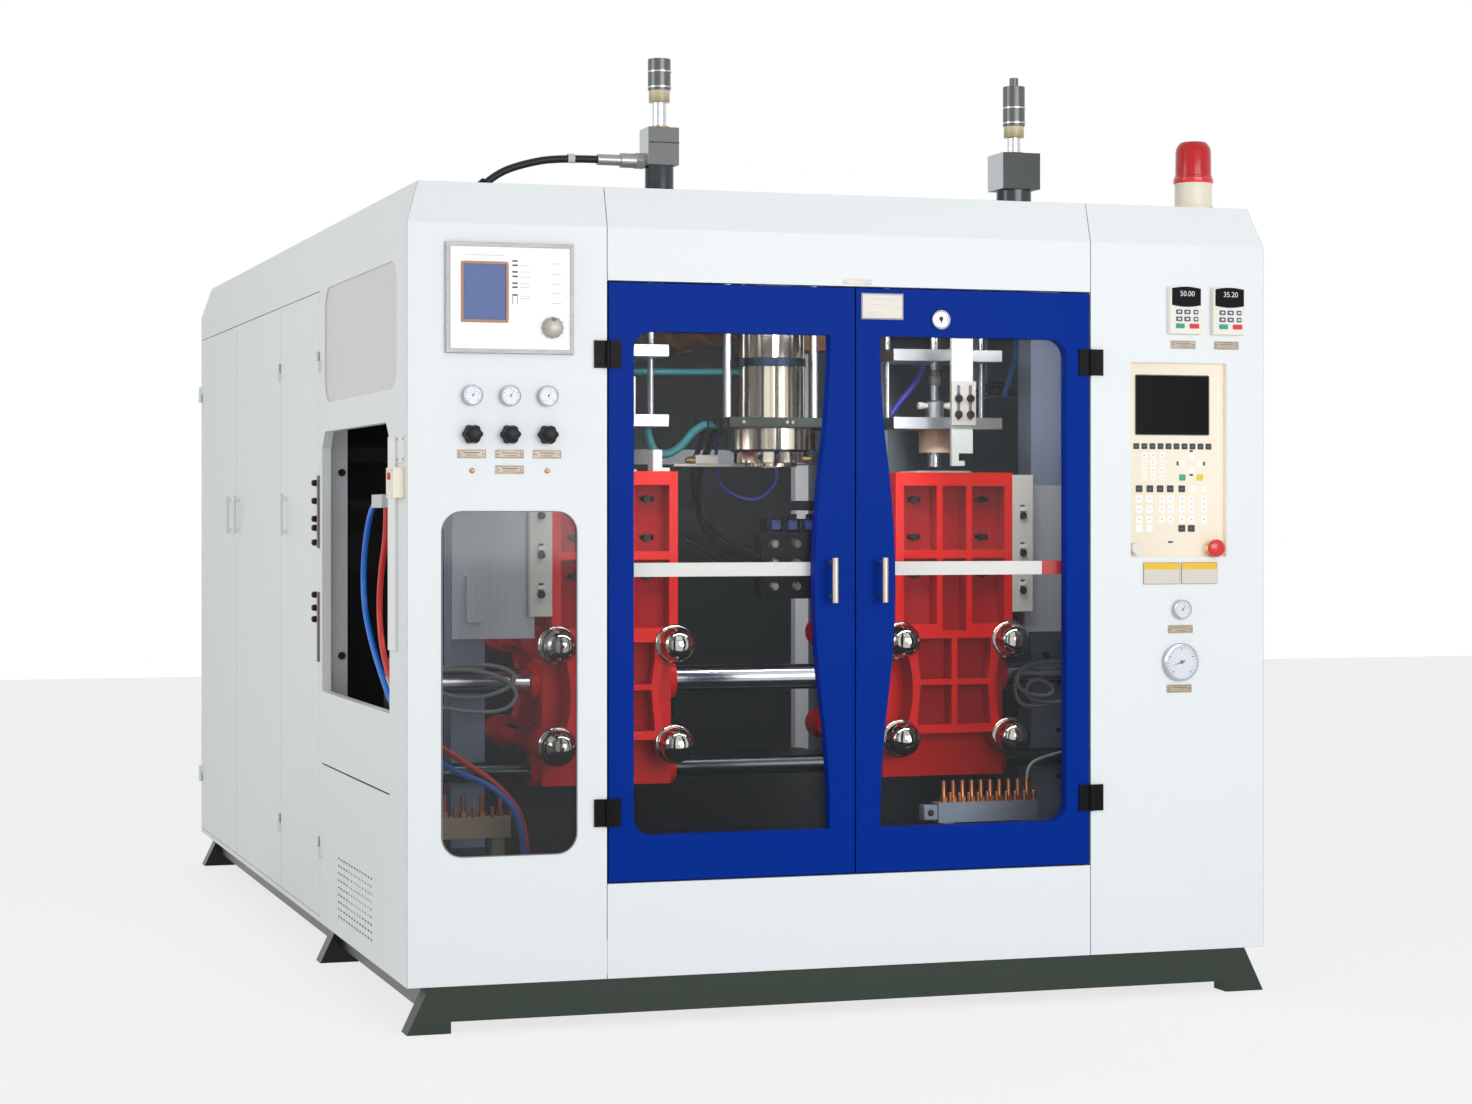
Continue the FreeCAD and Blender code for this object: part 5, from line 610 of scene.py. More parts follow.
# ------------------------------------------------------------------------------
# Parison controller
# An instrument in an aluminium frame, with a white printed face, a blue display behind a brown
# bezel and one dial of grey plastic with a scalloped rim.
frame_grey = metal("instrument_frame", (190, 188, 186), 0.35, (20, 300, 300), 0.05, 0.3)
# Grey for dark edges and print, and for the painted shade in the hook clamps' slots.
edge_grey_and_slot_shade = film("instrument_edge", (96, 98, 102), 0.4)
face_white = film("face_white", (252, 252, 250), 0.35, patches=0.03)
bezel_brown = film("bezel_brown", (172, 124, 104), 0.4)
lcd_blue = film("lcd_blue", (44, 80, 152), 0.15, coat=0.1, patches=0.4, shine=0.25)
ink_dark = film("ink_dark", (58, 60, 66), 0.6)
ink_faint = film("ink_faint", (206, 208, 210), 0.6)


def either(*tests):
    """A test that holds where one of several does."""
    return lambda middles: np.any([test(middles) for test in tests], axis=0)


softened("parison_controller", 0.8, frame_grey,
         (edge_grey_and_slot_shade, either(between("z", high=1436.1), between("z", 1669.9))))
FACE, MARKS = (-7.7, -6.8), (-7.9, -7.6)  # depths of the printed face and of the print on it
piece("controller_face", [slab(across, FACE, up) for across, up in (
    ((90.2, 112.5), (1445.2, 1660.8)), ((215.5, 286), (1445.2, 1660.8)), ((336, 349.8), (1445.2, 1660.8)),
    ((112.5, 215.5), (1445.2, 1500.5)), ((112.5, 215.5), (1629.5, 1660.8)), ((286, 336), (1445.2, 1466)),
    ((286, 336), (1518, 1660.8)))] + [slab((286, 336), (-7.2, -6.8), (1466, 1518))], face_white)
bezel = edging(round_rectangle((118.5, 210), (1507, 1624), 1, 2), 6, (-8.6, -4.2), "y")
piece("display_bezel", [bezel], bezel_brown, bevel=0.5)
piece("display_glass", [slab((116, 212.5), (-6.2, -4.1), (1504, 1627))], lcd_blue)
marks = [slab((224, 235.5), (-7.95, -7.6), (level - 1.7, level + 1.7))
         for level in (1632, 1623, 1609, 1599.5, 1585, 1576.5, 1560)]
marks += [slab((x - 0.5, x + 0.5), (-7.95, -7.6), (1541, 1558)) for x in (224.5, 235)]
piece("controller_marks", marks, ink_dark)
lines = [slab((240, 262), MARKS, (level - 0.6, level + 0.6))
         for level in (1622, 1609, 1598, 1584, 1576.5, 1558, 1553)]
lines += [slab((309, 331), MARKS, (level - 0.7, level + 0.7)) for level in (1628, 1606, 1585, 1565, 1544)]
lines.append(slab((122, 205), MARKS, (1642.4, 1643.6)))
piece("controller_lines", lines, ink_faint)
dial_grey = metal("dial_grey", (186, 182, 176), 0.35, (200, 200, 200), 0.05, 0.6)
dial = [(0, -14), (8, -14), (8, 0), (22.6, 0), (23, 1), (23, 10), (21, 14.5), (17.5, 16.5), (0, 17)]
piece("dial_cap", [spun(dial, (311, -7, 1492), "-y", 96, 12, 1.8)], dial_grey, "parison_dial",
      replaced=["parison_dial"])
piece("dial_notch", [slab((306.5, 315.5), (-24.4, -23.2), (1506.5, 1511.5))], edge_grey_and_slot_shade,
      "parison_dial", 0.6)

# ------------------------------------------------------------------------------
# Pressure gauges
# Glass-fronted dial gauges in chromed steel cases, held in the panel from behind: three small
# ones on the left, a small and a large one on the right.
chrome = metal("chrome", (214, 217, 222), 0.06, (90, 90, 90), 0.02)
dial_white = film("dial_white", (232, 236, 246), 0.25, coat=0.4, patches=0.05)
needle_black = film("needle_black", (22, 22, 30), 0.4)
gauge_glass = film("gauge_glass", (240, 244, 250), 0.02, patches=0, peel=0, alpha=0.12)
gauges = [(138, 1347, 22), (220, 1347, 22), (302, 1347, 22), (1788, 879, 22), (1785, 759, 43)]
SCALE_TURN, SCALE_STEPS = 270, 20  # degrees round the dial, and steps between its marks


def radial(x, z, turn, far, beside):
    """A point at a distance from a dial's middle in the direction of a turn, and moved beside that line."""
    out = np.array([math.cos(turn), math.sin(turn)])
    return np.array([x, z]) + out * far + np.array([-out[1], out[0]]) * beside


cases, faces, ticks, glasses = [], [], [], []
for x, z, radius in gauges:
    rim = 0.12 * radius
    inner = radius - rim
    case = [(0, 0), (radius - 1, 0), (radius, 1), (radius, 13), (radius - 0.4 * rim, 15.6),
            (radius - 0.8 * rim, 16), (inner, 15), (inner, 12.4), (0, 12.4)]
    cases.append(spun(case, (x, 0, z), "-y", 56))
    faces.append(spun(disc(inner - 0.1, 12.2, 12.9), (x, 0, z), "-y", 48))
    glass = [(0, 14.2), (inner - 0.1, 14.2), (inner - 0.1, 14.8), (0, 15.0)]
    glasses.append(spun(glass, (x, 0, z), "-y", 48))
    for step in range(SCALE_STEPS + 1):
        turn = math.radians(225 - SCALE_TURN / SCALE_STEPS * step)
        long, half = (0.16, 0.022) if step % 5 == 0 else (0.09, 0.012)
        outline = ((0.8 - long, -half), (0.8, -half), (0.8, half), (0.8 - long, half))
        tick = [radial(x, z, turn, radius * along, radius * beside) for along, beside in outline]
        ticks.append(prism(tick, (-13.15, -12.8)))
    lean = math.radians(200 if radius > 30 else 62)
    outline = ((-0.2, -0.035), (0.62, 0), (-0.2, 0.035))
    needle = [radial(x, z, lean, radius * along, radius * beside) for along, beside in outline]
    ticks.append(prism(needle, (-13.9, -13.5)))
    boss = [(0, 12.8), (radius * 0.1, 12.8), (radius * 0.1, 14.0), (0, 14.1)]
    ticks.append(spun(boss, (x, 0, z), "-y", 20))
piece("gauge_cases", cases, chrome, replaced=["pressure_gauges"])
piece("gauge_dials", faces, dial_white)
piece("gauge_marks", ticks, needle_black)
piece("gauge_glasses", glasses, gauge_glass)

# ------------------------------------------------------------------------------
# Regulator knobs, small plates and screws
# Black moulded knobs with six lobes on the valves behind the panel. Stamped plates of bronze-grey
# metal are riveted under the knobs, the keypads and the gauges.
KNOBS = (138, 220, 302)
knob_black = film("knob_black", (18, 18, 20), 0.38, patches=0.3, peel=0.5, shine=0.25)
knob = [(8.2, -12), (8.2, 0), (20, 0.4), (21.5, 1.4), (21.5, 6), (20, 8), (19.6, 24), (17.5, 28), (12, 30),
        (0, 30), (0, -12)]
for step, x in enumerate(KNOBS):
    cap = spun(knob, (x, 0, 1264.5), "-y", 72, 6, 3.2)
    node = f"regulator_knob_{step + 1}"
    piece(node + "_cap", [cap], knob_black, node, replaced=[node])
plate_bronze = metal("plate_bronze", (184, 172, 156), 0.4, (30, 300, 300), 0.1)
plate_dark = film("plate_dark", (112, 104, 94), 0.5)
softened("nameplates", 0.3, plate_bronze)
rivets, bands = [], []
small_plates = [*[(x, 1223) for x in KNOBS], (220, 1190), (1795, 1482), (1904, 1482), (1788, 833.6),
                (1785, 698)]
for x, z in small_plates:
    outline = round_rectangle((x - 28.5, x + 28.5), (z - 6.5, z + 6.5), 0.8, 2)
    bands.append(edging(outline, 0.9, (-1.75, -1.4), "y"))
    bands.append(slab((x - 17, x + 17), (-1.7, -1.4), (z + 1.6, z + 3.4)))
    bands.append(slab((x - 13, x + 13), (-1.7, -1.4), (z - 3.6, z - 2.6)))
    rivets += [spun([(0, 0), (2.4, 0), (1.8, 1.2), (0, 1.5)], (x + way * 24.5, -1.4, z), "-y", 14)
               for way in (-1, 1)]
piece("plate_borders", bands, plate_dark)
domed = [(0, 0), (5, 0), (5.4, 0.8), (5, 3.5), (3.5, 5), (0, 5.4)]
rivets += [spun(domed, (x, 0, 1187.5), "-y", 24) for x in (138.5, 302)]
brass = metal("brass", (178, 142, 96), 0.3, (200, 200, 200), 0.1)
piece("plate_rivets", rivets, brass)
card_yellow = film("card_yellow", (240, 196, 30), 0.45)
card_grey = film("card_grey", (222, 216, 206), 0.5)
ink_line = film("ink_line", (168, 160, 150), 0.6)
cards, tops, rules = [], [], []
for x in (1740, 1835):
    cards.append(slab((x - 45, x + 45), (-2.0, -1.4), (936.6, 985.4)))
    tops.append(slab((x - 44, x + 44), (-2.25, -1.9), (970, 984.6)))
    outline = round_rectangle((x - 44.2, x + 44.2), (937.4, 984.6), 1, 2)
    rules.append(edging(outline, 0.8, (-2.2, -1.8), "y"))
piece("card_faces", cards, card_grey)
piece("card_bands", tops, card_yellow)
piece("card_borders", rules, ink_line)

# ------------------------------------------------------------------------------
# Drive keypads
# Two cream moulded keypads with black displays that bow at top and bottom, rubber keys and
# white figures.
keypad_cream = film("keypad_cream", (240, 238, 228), 0.4)
display_black = film("display_black", (24, 24, 28), 0.12, shine=0.1)
figure_white = film("figure_white", (226, 228, 230), 0.4)
key_navy = film("key_navy", (70, 78, 118), 0.45)
key_green = film("key_green", (40, 158, 128), 0.4)
key_red = film("key_red", (216, 40, 50), 0.4)
key_dark = film("key_dark", (38, 44, 54), 0.4)
key_white = film("key_white", (253, 252, 248), 0.4, patches=0.02)


def key(x, z, width, height, face, rise=1.2, round_by=2.0):
    """A key with round corners whose middle lies at a point of a face."""
    outline = round_rectangle((x - width / 2, x + width / 2), (z - height / 2, z + height / 2), round_by, 4)
    return prism(outline, (face - rise, face + 0.4))


def figures(name, words, x, z, height, face, material):
    """Figures as a thin mesh on a face, their middle at a point."""
    curve = bpy.data.curves.new(name, "FONT")
    curve.body = words
    curve.size = height / 1000 * 1.4  # as a figure is 1 / 1.4 of its type's size high
    curve.extrude = 0.0002
    curve.align_x, curve.align_y = "CENTER", "CENTER"
    holder = bpy.data.objects.new(name + "_outline", curve)
    mesh = bpy.data.meshes.new_from_object(holder)
    bpy.data.objects.remove(holder)
    points = np.empty(len(mesh.vertices) * 3)
    mesh.vertices.foreach_get("co", points)
    points = points.reshape(-1, 3)
    upright = np.stack([points[:, 0], -points[:, 2], points[:, 1]], axis=1)
    mesh.vertices.foreach_set("co", (upright + CORNER + np.array([x, face, z]) / 1000).ravel())
    mesh.materials.clear()
    mesh.materials.append(material)
    mesh.update()
    thing = bpy.data.objects.new(name, mesh)
    bpy.context.scene.collection.objects.link(thing)
    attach(thing, "cabinet")


softened("drive_keypads", 2.0, keypad_cream)
KEYPADS = {1795: "50.00", 1904: "35.20"}  # the middle of each, and its figures
KEY_ROWS, KEY_COLUMNS = (1556, 1540), {-18: 15.5, 2.5: 15.5, 24: 12}  # a column's middle, and its width
displays, navy_keys, green_keys, red_keys, dashes = [], [], [], [], []
for index, (x, words) in enumerate(KEYPADS.items()):
    bow = [(x - 36 + 72 * share, 1609.5 + 4 * math.sin(math.pi * share)) for share in np.linspace(0, 1, 13)]
    sag = [(x + 36 - 72 * share, 1571.5 - 4 * math.sin(math.pi * share)) for share in np.linspace(0, 1, 13)]
    displays.append(prism(bow + sag, (-17.4, -15)))
    for level in KEY_ROWS:
        for across, wide in KEY_COLUMNS.items():
            navy_keys.append(key(x + across, level, wide, 10.5, -16))
            dash = round_rectangle((x + across - 3.5, x + across + 3.5), (level - 2.2, level + 2.2), 1, 3)
            dashes.append(prism(dash, (-17.5, -17.1)))
    green_keys.append(key(x - 15.5, 1524, 22, 11, -16))
    red_keys.append(key(x + 20, 1524, 24, 11, -16))
    figures(f"keypad_figures_{index + 1}", words, x + 2, 1597, 12, -17.7, figure_white)
for name, shapes, look in (("keypad_displays", displays, display_black),
                           ("keypad_keys", navy_keys, key_navy),
                           ("keypad_start_keys", green_keys, key_green),
                           ("keypad_stop_keys", red_keys, key_red)):
    piece(name, shapes, look, bevel=0.5)
piece("keypad_key_marks", dashes, figure_white)

# ------------------------------------------------------------------------------
# Operator panel
# A cream membrane panel set back in the right column, with a dark screen, rows of printed keys,
# a white plug and the emergency stop's yellow collar.
panel_cream = film("panel_cream", (250, 240, 220), 0.42, patches=0.05)
collar_yellow = film("collar_yellow", (236, 196, 40), 0.4)
plug_white = film("plug_white", (232, 230, 224), 0.35)
screen_black = film("screen_black", (24, 26, 26), 0.14, shine=0.06)
key_teal = film("key_teal", (52, 166, 136), 0.4)
key_yellow = film("key_yellow", (232, 210, 48), 0.4)
PANEL = 14  # depth of the panel's face behind the front
softened("operator_panel", 0.5, panel_cream,
         (collar_yellow, place_test((1857.9, -1, 1002.9), (1888.1, 13.9, 1033.1))),
         (plug_white, place_test((1666.9, -3, 1004.9), (1693.1, 13.9, 1031.1))))
SCREEN = ((1682.5, 1865.5), (1277.5, 1411.5))
piece("screen", [slab((1682.4, 1865.6), (PANEL - 0.6, PANEL + 1.4), (1277.4, 1411.6))], screen_black,
      bevel=0.4)
piece("screen_edge", [edging(round_rectangle(*SCREEN, 2, 3), 2, (PANEL - 1, PANEL + 0.5), "y")],
      edge_grey_and_slot_shade)
NUMBER_COLUMNS, NUMBER_ROWS = (1703, 1725, 1748), (1230.5, 1213.5, 1196.5, 1179.5)
LOWER_COLUMNS, LOWER_ROWS = (1691, 1716.5, 1748, 1769.5, 1798, 1822, 1854), (1130.5, 1106.5, 1083.5)
numbers = [(x, z) for x in NUMBER_COLUMNS for z in NUMBER_ROWS]
lower = [(x, z) for x in LOWER_COLUMNS for z in LOWER_ROWS]
function_row = [(1684 + 20.15 * step, 1250.5) for step in range(10)]
middle_row = [(x, 1153.5) for x in (1691, 1718, 1743.5, 1769, 1798)]
corner_keys = [(x, 1063) for x in (1798, 1822)]
dark_keys, white_keys = [], []
for keys, places, size in ((dark_keys, function_row, (14.5, 13.5)), (dark_keys, middle_row, (16.5, 15.5)),
                           (dark_keys, corner_keys, (17, 15.5)), (white_keys, numbers, (12.5, 13)),
                           (white_keys, [(1827, 1153.5), (1854, 1153.5)], (15, 16)),
                           (white_keys, lower, (16, 17)),
                           (white_keys, [(1691, 1063), (1716, 1063)], (17, 15.5))):
    keys += [key(*place, *size, PANEL) for place in places]
round_keys = ((1822, 1229), (1798.5, 1211.5), (1843.5, 1211.5), (1822, 1196))
white_keys += [key(*place, 16, 16, PANEL, 1.2, 7.9) for place in round_keys]
for name, keys, look in (("panel_dark_keys", dark_keys, key_dark),
                         ("panel_white_keys", white_keys, key_white),
                         ("panel_green_key", [key(1799.5, 1179.5, 16, 14, PANEL)], key_teal),
                         ("panel_yellow_key", [key(1843.5, 1179.5, 16, 14, PANEL)], key_yellow)):
    piece(name, keys, look, bevel=0.4)
PRINT, KEY_PRINT = (PANEL - 0.35, PANEL + 0.2), (PANEL - 1.45, PANEL - 1.1)  # on the panel and on its keys
arrows = [slab((x - 4, x + 4), PRINT, (z - 2.2, z + 2.2)) for x, z in ((1822, 1240), (1822, 1185.5))]
arrows += [slab((x - 2.4, x + 2.4), PRINT, (1207, 1216)) for x in (1787.5, 1854.5)]
arrows.append(slab((1763.5, 1776), PRINT, (1030, 1034)))
piece("panel_marks", arrows, ink_dark)
piece("panel_key_marks", [slab((x - 2.6, x + 2.6), KEY_PRINT, (z - 1, z + 2)) for x, z in lower]
      + [slab((x - 1.6, x + 1.6), KEY_PRINT, (z - 2.4, z + 1.6)) for x, z in numbers], ink_faint)
piece("panel_dark_marks", [slab((x - 3, x + 3), KEY_PRINT, (z - 1.4, z + 1.4))
                           for x, z in function_row + middle_row + corner_keys], edge_grey_and_slot_shade)
stop_red = film("stop_red", (222, 26, 38), 0.25, coat=0.4)
head = [(0, -33), (9, -33), (9, 0), (18, 0), (20, 1.5), (20.2, 8), (18.5, 11.5), (13, 14), (6, 15), (0, 15)]
piece("stop_head", [spun(head, (1873, -6, 1018), "-y", 48)], stop_red, "stop_button",
      replaced=["stop_button"])

# ------------------------------------------------------------------------------
# Warning beacon
# A red lens with bevelled shoulders on a cream base, screwed to the roof.
beacon_lens = film("beacon_lens", (198, 24, 30), 0.14, coat=0.15, patches=0.4, shine=0.3)
beacon_cream = film("beacon_cream", (240, 232, 214), 0.4)
BEACON = (1870, 100, 0)
lens = [(0, 1870), (43.5, 1870), (43.5, 1878), (41.5, 1880), (40.8, 1934), (39.6, 1943), (36, 1950),
        (31, 1956), (28, 1958), (0, 1958)]
piece("beacon_glass", [spun(lens, BEACON, "z", 64, 32, 0.8)], beacon_lens,
      replaced=["beacon"])
skirt = [(0, 1862), (45.5, 1862), (46, 1863), (46, 1873), (44, 1875), (0, 1875)]
piece("beacon_flange", [spun(skirt, BEACON)], stop_red)
base = [(0, 1800), (46, 1800), (46, 1808), (43, 1812), (42.5, 1856), (44.5, 1862), (0, 1862)]
piece("beacon_base", [spun(base, BEACON)], beacon_cream)

# ------------------------------------------------------------------------------
# Machine frame
# Square steel tubes welded into a cage. The tubes, the deck and the beams behind the clamps are
# black, the posts by the doors and the hatch pale grey and the columns blue-grey enamel.
def near_line(across, up, radius, axis, low=-FAR, high=FAR):
    """A test for face middles within a radius of a line along an axis, between two values on it."""
    first, second, _ = AXES[axis]
    return both(between(axis, low, high),
                lambda middles: np.hypot(middles[:, first] - across, middles[:, second] - up) < radius)


frame_black = film("frame_black", (22, 24, 25), 0.45, patches=0.5, peel=0.3, shine=0.15)
post_grey = film("post_grey", (214, 216, 220), 0.42, patches=0.1)
column_blue = film("column_blue", (150, 165, 190), 0.28, coat=0.3, patches=0.3)
bolt_black = film("bolt_black", (20, 20, 22), 0.35, patches=0.4, peel=0.4, shine=0.25)
TUBES_TOP = 1654
softened("machine_frame", 0, frame_black,
         (post_grey,
          both(either(between("x", high=70), between("x", WIDTH - 70)), between("z", 330, TUBES_TOP))),
         (column_blue, either(place_test((229, 625, 320.5), (311, 707, TUBES_TOP)),
                              place_test((1689, 625, 320.5), (1771, 707, TUBES_TOP)))))


def bolt(x, y, z, radius=9, height=7, axis="-y"):
    """A bolt head on a face, with a small chamfer round its top."""
    head = [(0, -0.5), (radius, -0.5), (radius, height * 0.75), (radius * 0.82, height), (0, height)]
    return spun(head, (x, y, z), axis, 20)


piece("post_bolts", [bolt(1727, 626, 747), bolt(1762, 626, 561, 6, 5), bolt(1762, 626, 447, 6, 5),
                     bolt(52, 1064, 1197), bolt(52, 1064, 750)], bolt_black)

# ------------------------------------------------------------------------------
# Slide shafts and carriages
# Ground and chromed shafts, the lower one darker. The carriages on them are red castings.
shaft_chrome = metal("shaft_chrome", (226, 229, 236), 0.05, (0.6, 160, 160), 0.02)
shaft_dark = metal("shaft_dark", (86, 94, 94), 0.14, (0.6, 160, 160), 0.03)
softened("slide_shafts", 0, shaft_chrome, (shaft_dark, between("z", high=600)))
casting_red = film("casting_red", (240, 26, 16), 0.3, coat=0.06, patches=0.2, peel=0.6, shine=0.12)
# The same enamel, darker for the pockets between the ribs, as painted shade.
pocket_painted_shade_red = film("pocket_painted_shade_red", (186, 16, 22), 0.4, patches=0.4, peel=0.6, shine=0.1)
for side in ("left", "right"):
    softened(side + "_carriage", 1.5, casting_red)

# ------------------------------------------------------------------------------
# Clamps
# Ribbed iron castings with a red gloss enamel, held on chromed tie bars by domed nuts with a
# flange. Black bolts hold the aluminium moulds through slots in the platens.
STATIONS = {"left": 580, "right": 1420}
BOLT_ACROSS, BOLT_LEVELS = 87, (951, 1041, 1131)
BAR_ACROSS, BAR_LEVELS = 140, (563, 795)
CLAMP_AXIS = 679  # height of the clamp cylinder's axis
POCKETS = (470, 506)  # from the ribs' fronts to the floors of the pockets
SLOT_HALF = (16.9, 5.4)
mould_aluminium = metal("mould_aluminium", (206, 208, 210), 0.32, (200, 200, 4), 0.06)
dome_chrome = metal("dome_chrome", (226, 222, 212), -0.03, (60, 60, 60), 0.01)
# Near black for the inside of slots and holes, as painted shade.
slot_painted_shade = film("slot_painted_shade", (18, 12, 12), 0.6)
cylinder_dark = film("cylinder_dark", (34, 38, 41), 0.3, shine=0.3)
striker_cream = film("striker_cream", (238, 232, 220), 0.4)
flange = [(39, -3), (39, 1), (44.5, 1), (45.5, 2), (45.5, 7), (43, 10), (40.2, 11.5), (39, 11.5), (39, -3)]
for side, x in STATIONS.items():
    bolts = [(x + BOLT_ACROSS * way, level) for way in (-1, 1) for level in BOLT_LEVELS]
    bars = [(x + BAR_ACROSS * way, level) for way in (-1, 1) for level in BAR_LEVELS]
    # The pockets between the ribs take the darker red as painted shade.
    softened(side + "_front_platen", 2.2, casting_red,
             (pocket_painted_shade_red, both(between("y", *POCKETS), between("x", x - 148, x + 148))),
             (bolt_black, either(*[near_line(*place, 11, "y", 496.5, 504.5) for place in bolts])),
             (slot_painted_shade, either(*[near_line(*place, 20, "y", 505.5, 524.5) for place in bolts])))
    # The slots' walls and floors are near black as painted shade.
    floors = [slab((across - SLOT_HALF[0], across + SLOT_HALF[0]), (522.5, 524.8),
                   (level - SLOT_HALF[1], level + SLOT_HALF[1])) for across, level in bolts]
    piece(side + "_slot_floors", floors, slot_painted_shade, side + "_front_clamp")
    softened(side + "_rear_platen", 2.2, casting_red,
             (shaft_chrome, near_line(x, CLAMP_AXIS, 40, "y", 720.5)))
    softened(side + "_clamp_frame", 0, casting_red,
             (shaft_chrome, either(*[near_line(*place, 26.5, "y", 520) for place in bars])),
             (dome_chrome, between("y", high=460.5)),
             (cylinder_dark, near_line(x, CLAMP_AXIS, 76, "y", 1040.5)))
    piece(side + "_dome_flanges", [spun(flange, (across, 461, level), "-y", 48) for across, level in bars],
          dome_chrome, side + "_front_clamp")
    for half in ("front", "rear"):
        softened(f"{side}_{half}_mould", 1.0, mould_aluminium,
                 (striker_cream, between("z", 1190.1)))
stop_white = film("stop_white", (236, 236, 232), 0.4)
piece("left_stop_block",
      [slab((672, 694), (470, 515), (1194.5, 1245)), slab((694, 713), (470, 515), (1194.5, 1203))],
      stop_white, "left_front_clamp", 1.2)

# ------------------------------------------------------------------------------
# Side plates
# Brushed aluminium plates on the platens' outer edges, with a pale slotted strip and black bolts
# in the slots. The left one carries a limit switch.
arm_brushed = metal("arm_brushed", (196, 204, 210), 0.3, (220, 220, 3), 0.05, 0.3, dark=0.8)
arm_strip = film("arm_strip", (222, 221, 214), 0.4, patches=0.2)
STRIP_SLOTS = (921, 1011, 1101)
for side, span in (("left", (376, 431)), ("right", (1569, 1624))):
    softened(side + "_side_plate", 0.8, arm_brushed,
             (arm_strip, place_test((span[0], 459, 855), (span[1], 475.5, 1191))))
    middle = (span[0] + span[1]) / 2
    heads = [bolt(middle, 460.5, level - 9, 8.5, 8) for level in STRIP_SLOTS]
    piece(side + "_strip_bolts", heads, bolt_black, side + "_front_clamp")
    tabs = [slab((middle - 8, middle + 8), (456, 460.4), (level + 2, level + 12)) for level in STRIP_SLOTS]
    piece(side + "_strip_tabs", tabs, stop_white, side + "_front_clamp", 0.8)

# ------------------------------------------------------------------------------
# Die head
# Turned and polished tool steel whose colour has upright dark and light streaks as painted
# reflection, with a blued clamp band, a dark head plate and two bright hangers. Brass fittings
# stand at the die ring.
# Broad upright streaks of darker colour stand for the surroundings mirrored in the steel: painted
# reflection.
die_steel_painted_reflection = metal("die_steel_painted_reflection", (238, 226, 206), 0.03, (34, 34, 0.3), 0.02, contrast=5, dark=0.28)
band_blued = metal("band_blued", (52, 70, 92), 0.2, (30, 30, 0.3), 0.03)
plate_scaled = metal("plate_scaled", (78, 84, 78), 0.42, (14, 14, 60), 0.3)
hanger_grey = metal("hanger_grey", (222, 224, 230), 0.3, (90, 90, 2), 0.03)
MIDDLE, PARTING = WIDTH / 2, 590  # the die's axis across the cabinet, and how far it is behind the front
LUGS = 109  # from that axis to each hanger
softened("die_head", 0.8, die_steel_painted_reflection,
         (plate_scaled, place_test((848.9, 438.9, 1298.9), (1151.1, 741.1, 1322.1))),
         (band_blued, between("z", 1446, 1466)),
         (band_blued, between("z", 1243, 1248.1)),
         (hanger_grey, either(near_line(MIDDLE - LUGS, PARTING, 11, "z", 1323),
                              near_line(MIDDLE + LUGS, PARTING, 11, "z", 1323))))
fittings = []
for x, y, z, way in ((1056, 528, 1228, "x"), (1080, 600, 1228, "x"), (826, 645, 1224, "-x")):
    fittings.append(spun([(0, 0), (9, 0), (9, 16), (6, 16), (6, 22), (0, 22)], (x, y, z), way, 18))
piece("die_fittings", fittings, brass)
piece("die_set_screws", [bolt(MIDDLE + 88 * math.sin(turn), PARTING - 88 * math.cos(turn) + 2, 1230, 7, 5)
                         for turn in (-0.6, -0.15, 0.3)], bolt_black)
bar = [slab((772, 1000), (638, 656), (1209, 1216)), slab((824, 881), (632, 660), (1215.5, 1237))]
piece("die_bar", bar, plate_silver, bevel=1)
piece("head_plate_marks", [bolt(x, 439.5, 1310, 4, 1.5) for x in (884, 990, 1004, 1116)], screw_steel)

# ------------------------------------------------------------------------------
# Blow stations
# Milled plates on ground rods, with an amber plastic bush under the lower plate, a pale hook bar in
# front and a double acting cylinder on the roof above each.
def graded(name, lower, upper, low, high, roughness=0.35, coat=0.0):
    """A material whose colour goes evenly from one to another between two heights in millimetres, as
    painted light and shade.
    """
    material = film(name, lower, roughness, coat, patches=0.0)
    nodes = material.node_tree.nodes
    place, parts, level, mix = [nodes.new("ShaderNode" + kind)
                                for kind in ("TexCoord", "SeparateXYZ", "MapRange", "Mix")]
    mix.data_type = "RGBA"
    set_inputs(level, From_Min=low / 1000, From_Max=high / 1000)
    set_inputs(mix, A=tone(*lower), B=tone(*upper))
    join(material.node_tree, (place, "Object", parts, 0), (parts, "Z", level, "Value"),
         (level, 0, mix, "Factor"), (mix, "Result", nodes["Group"], "Colour"))
    return material


plate_milled = metal("plate_milled", (206, 210, 214), 0.24, (6, 300, 300), 0.05)
hook_grey = film("hook_grey", (206, 210, 206), 0.4, patches=0.15)
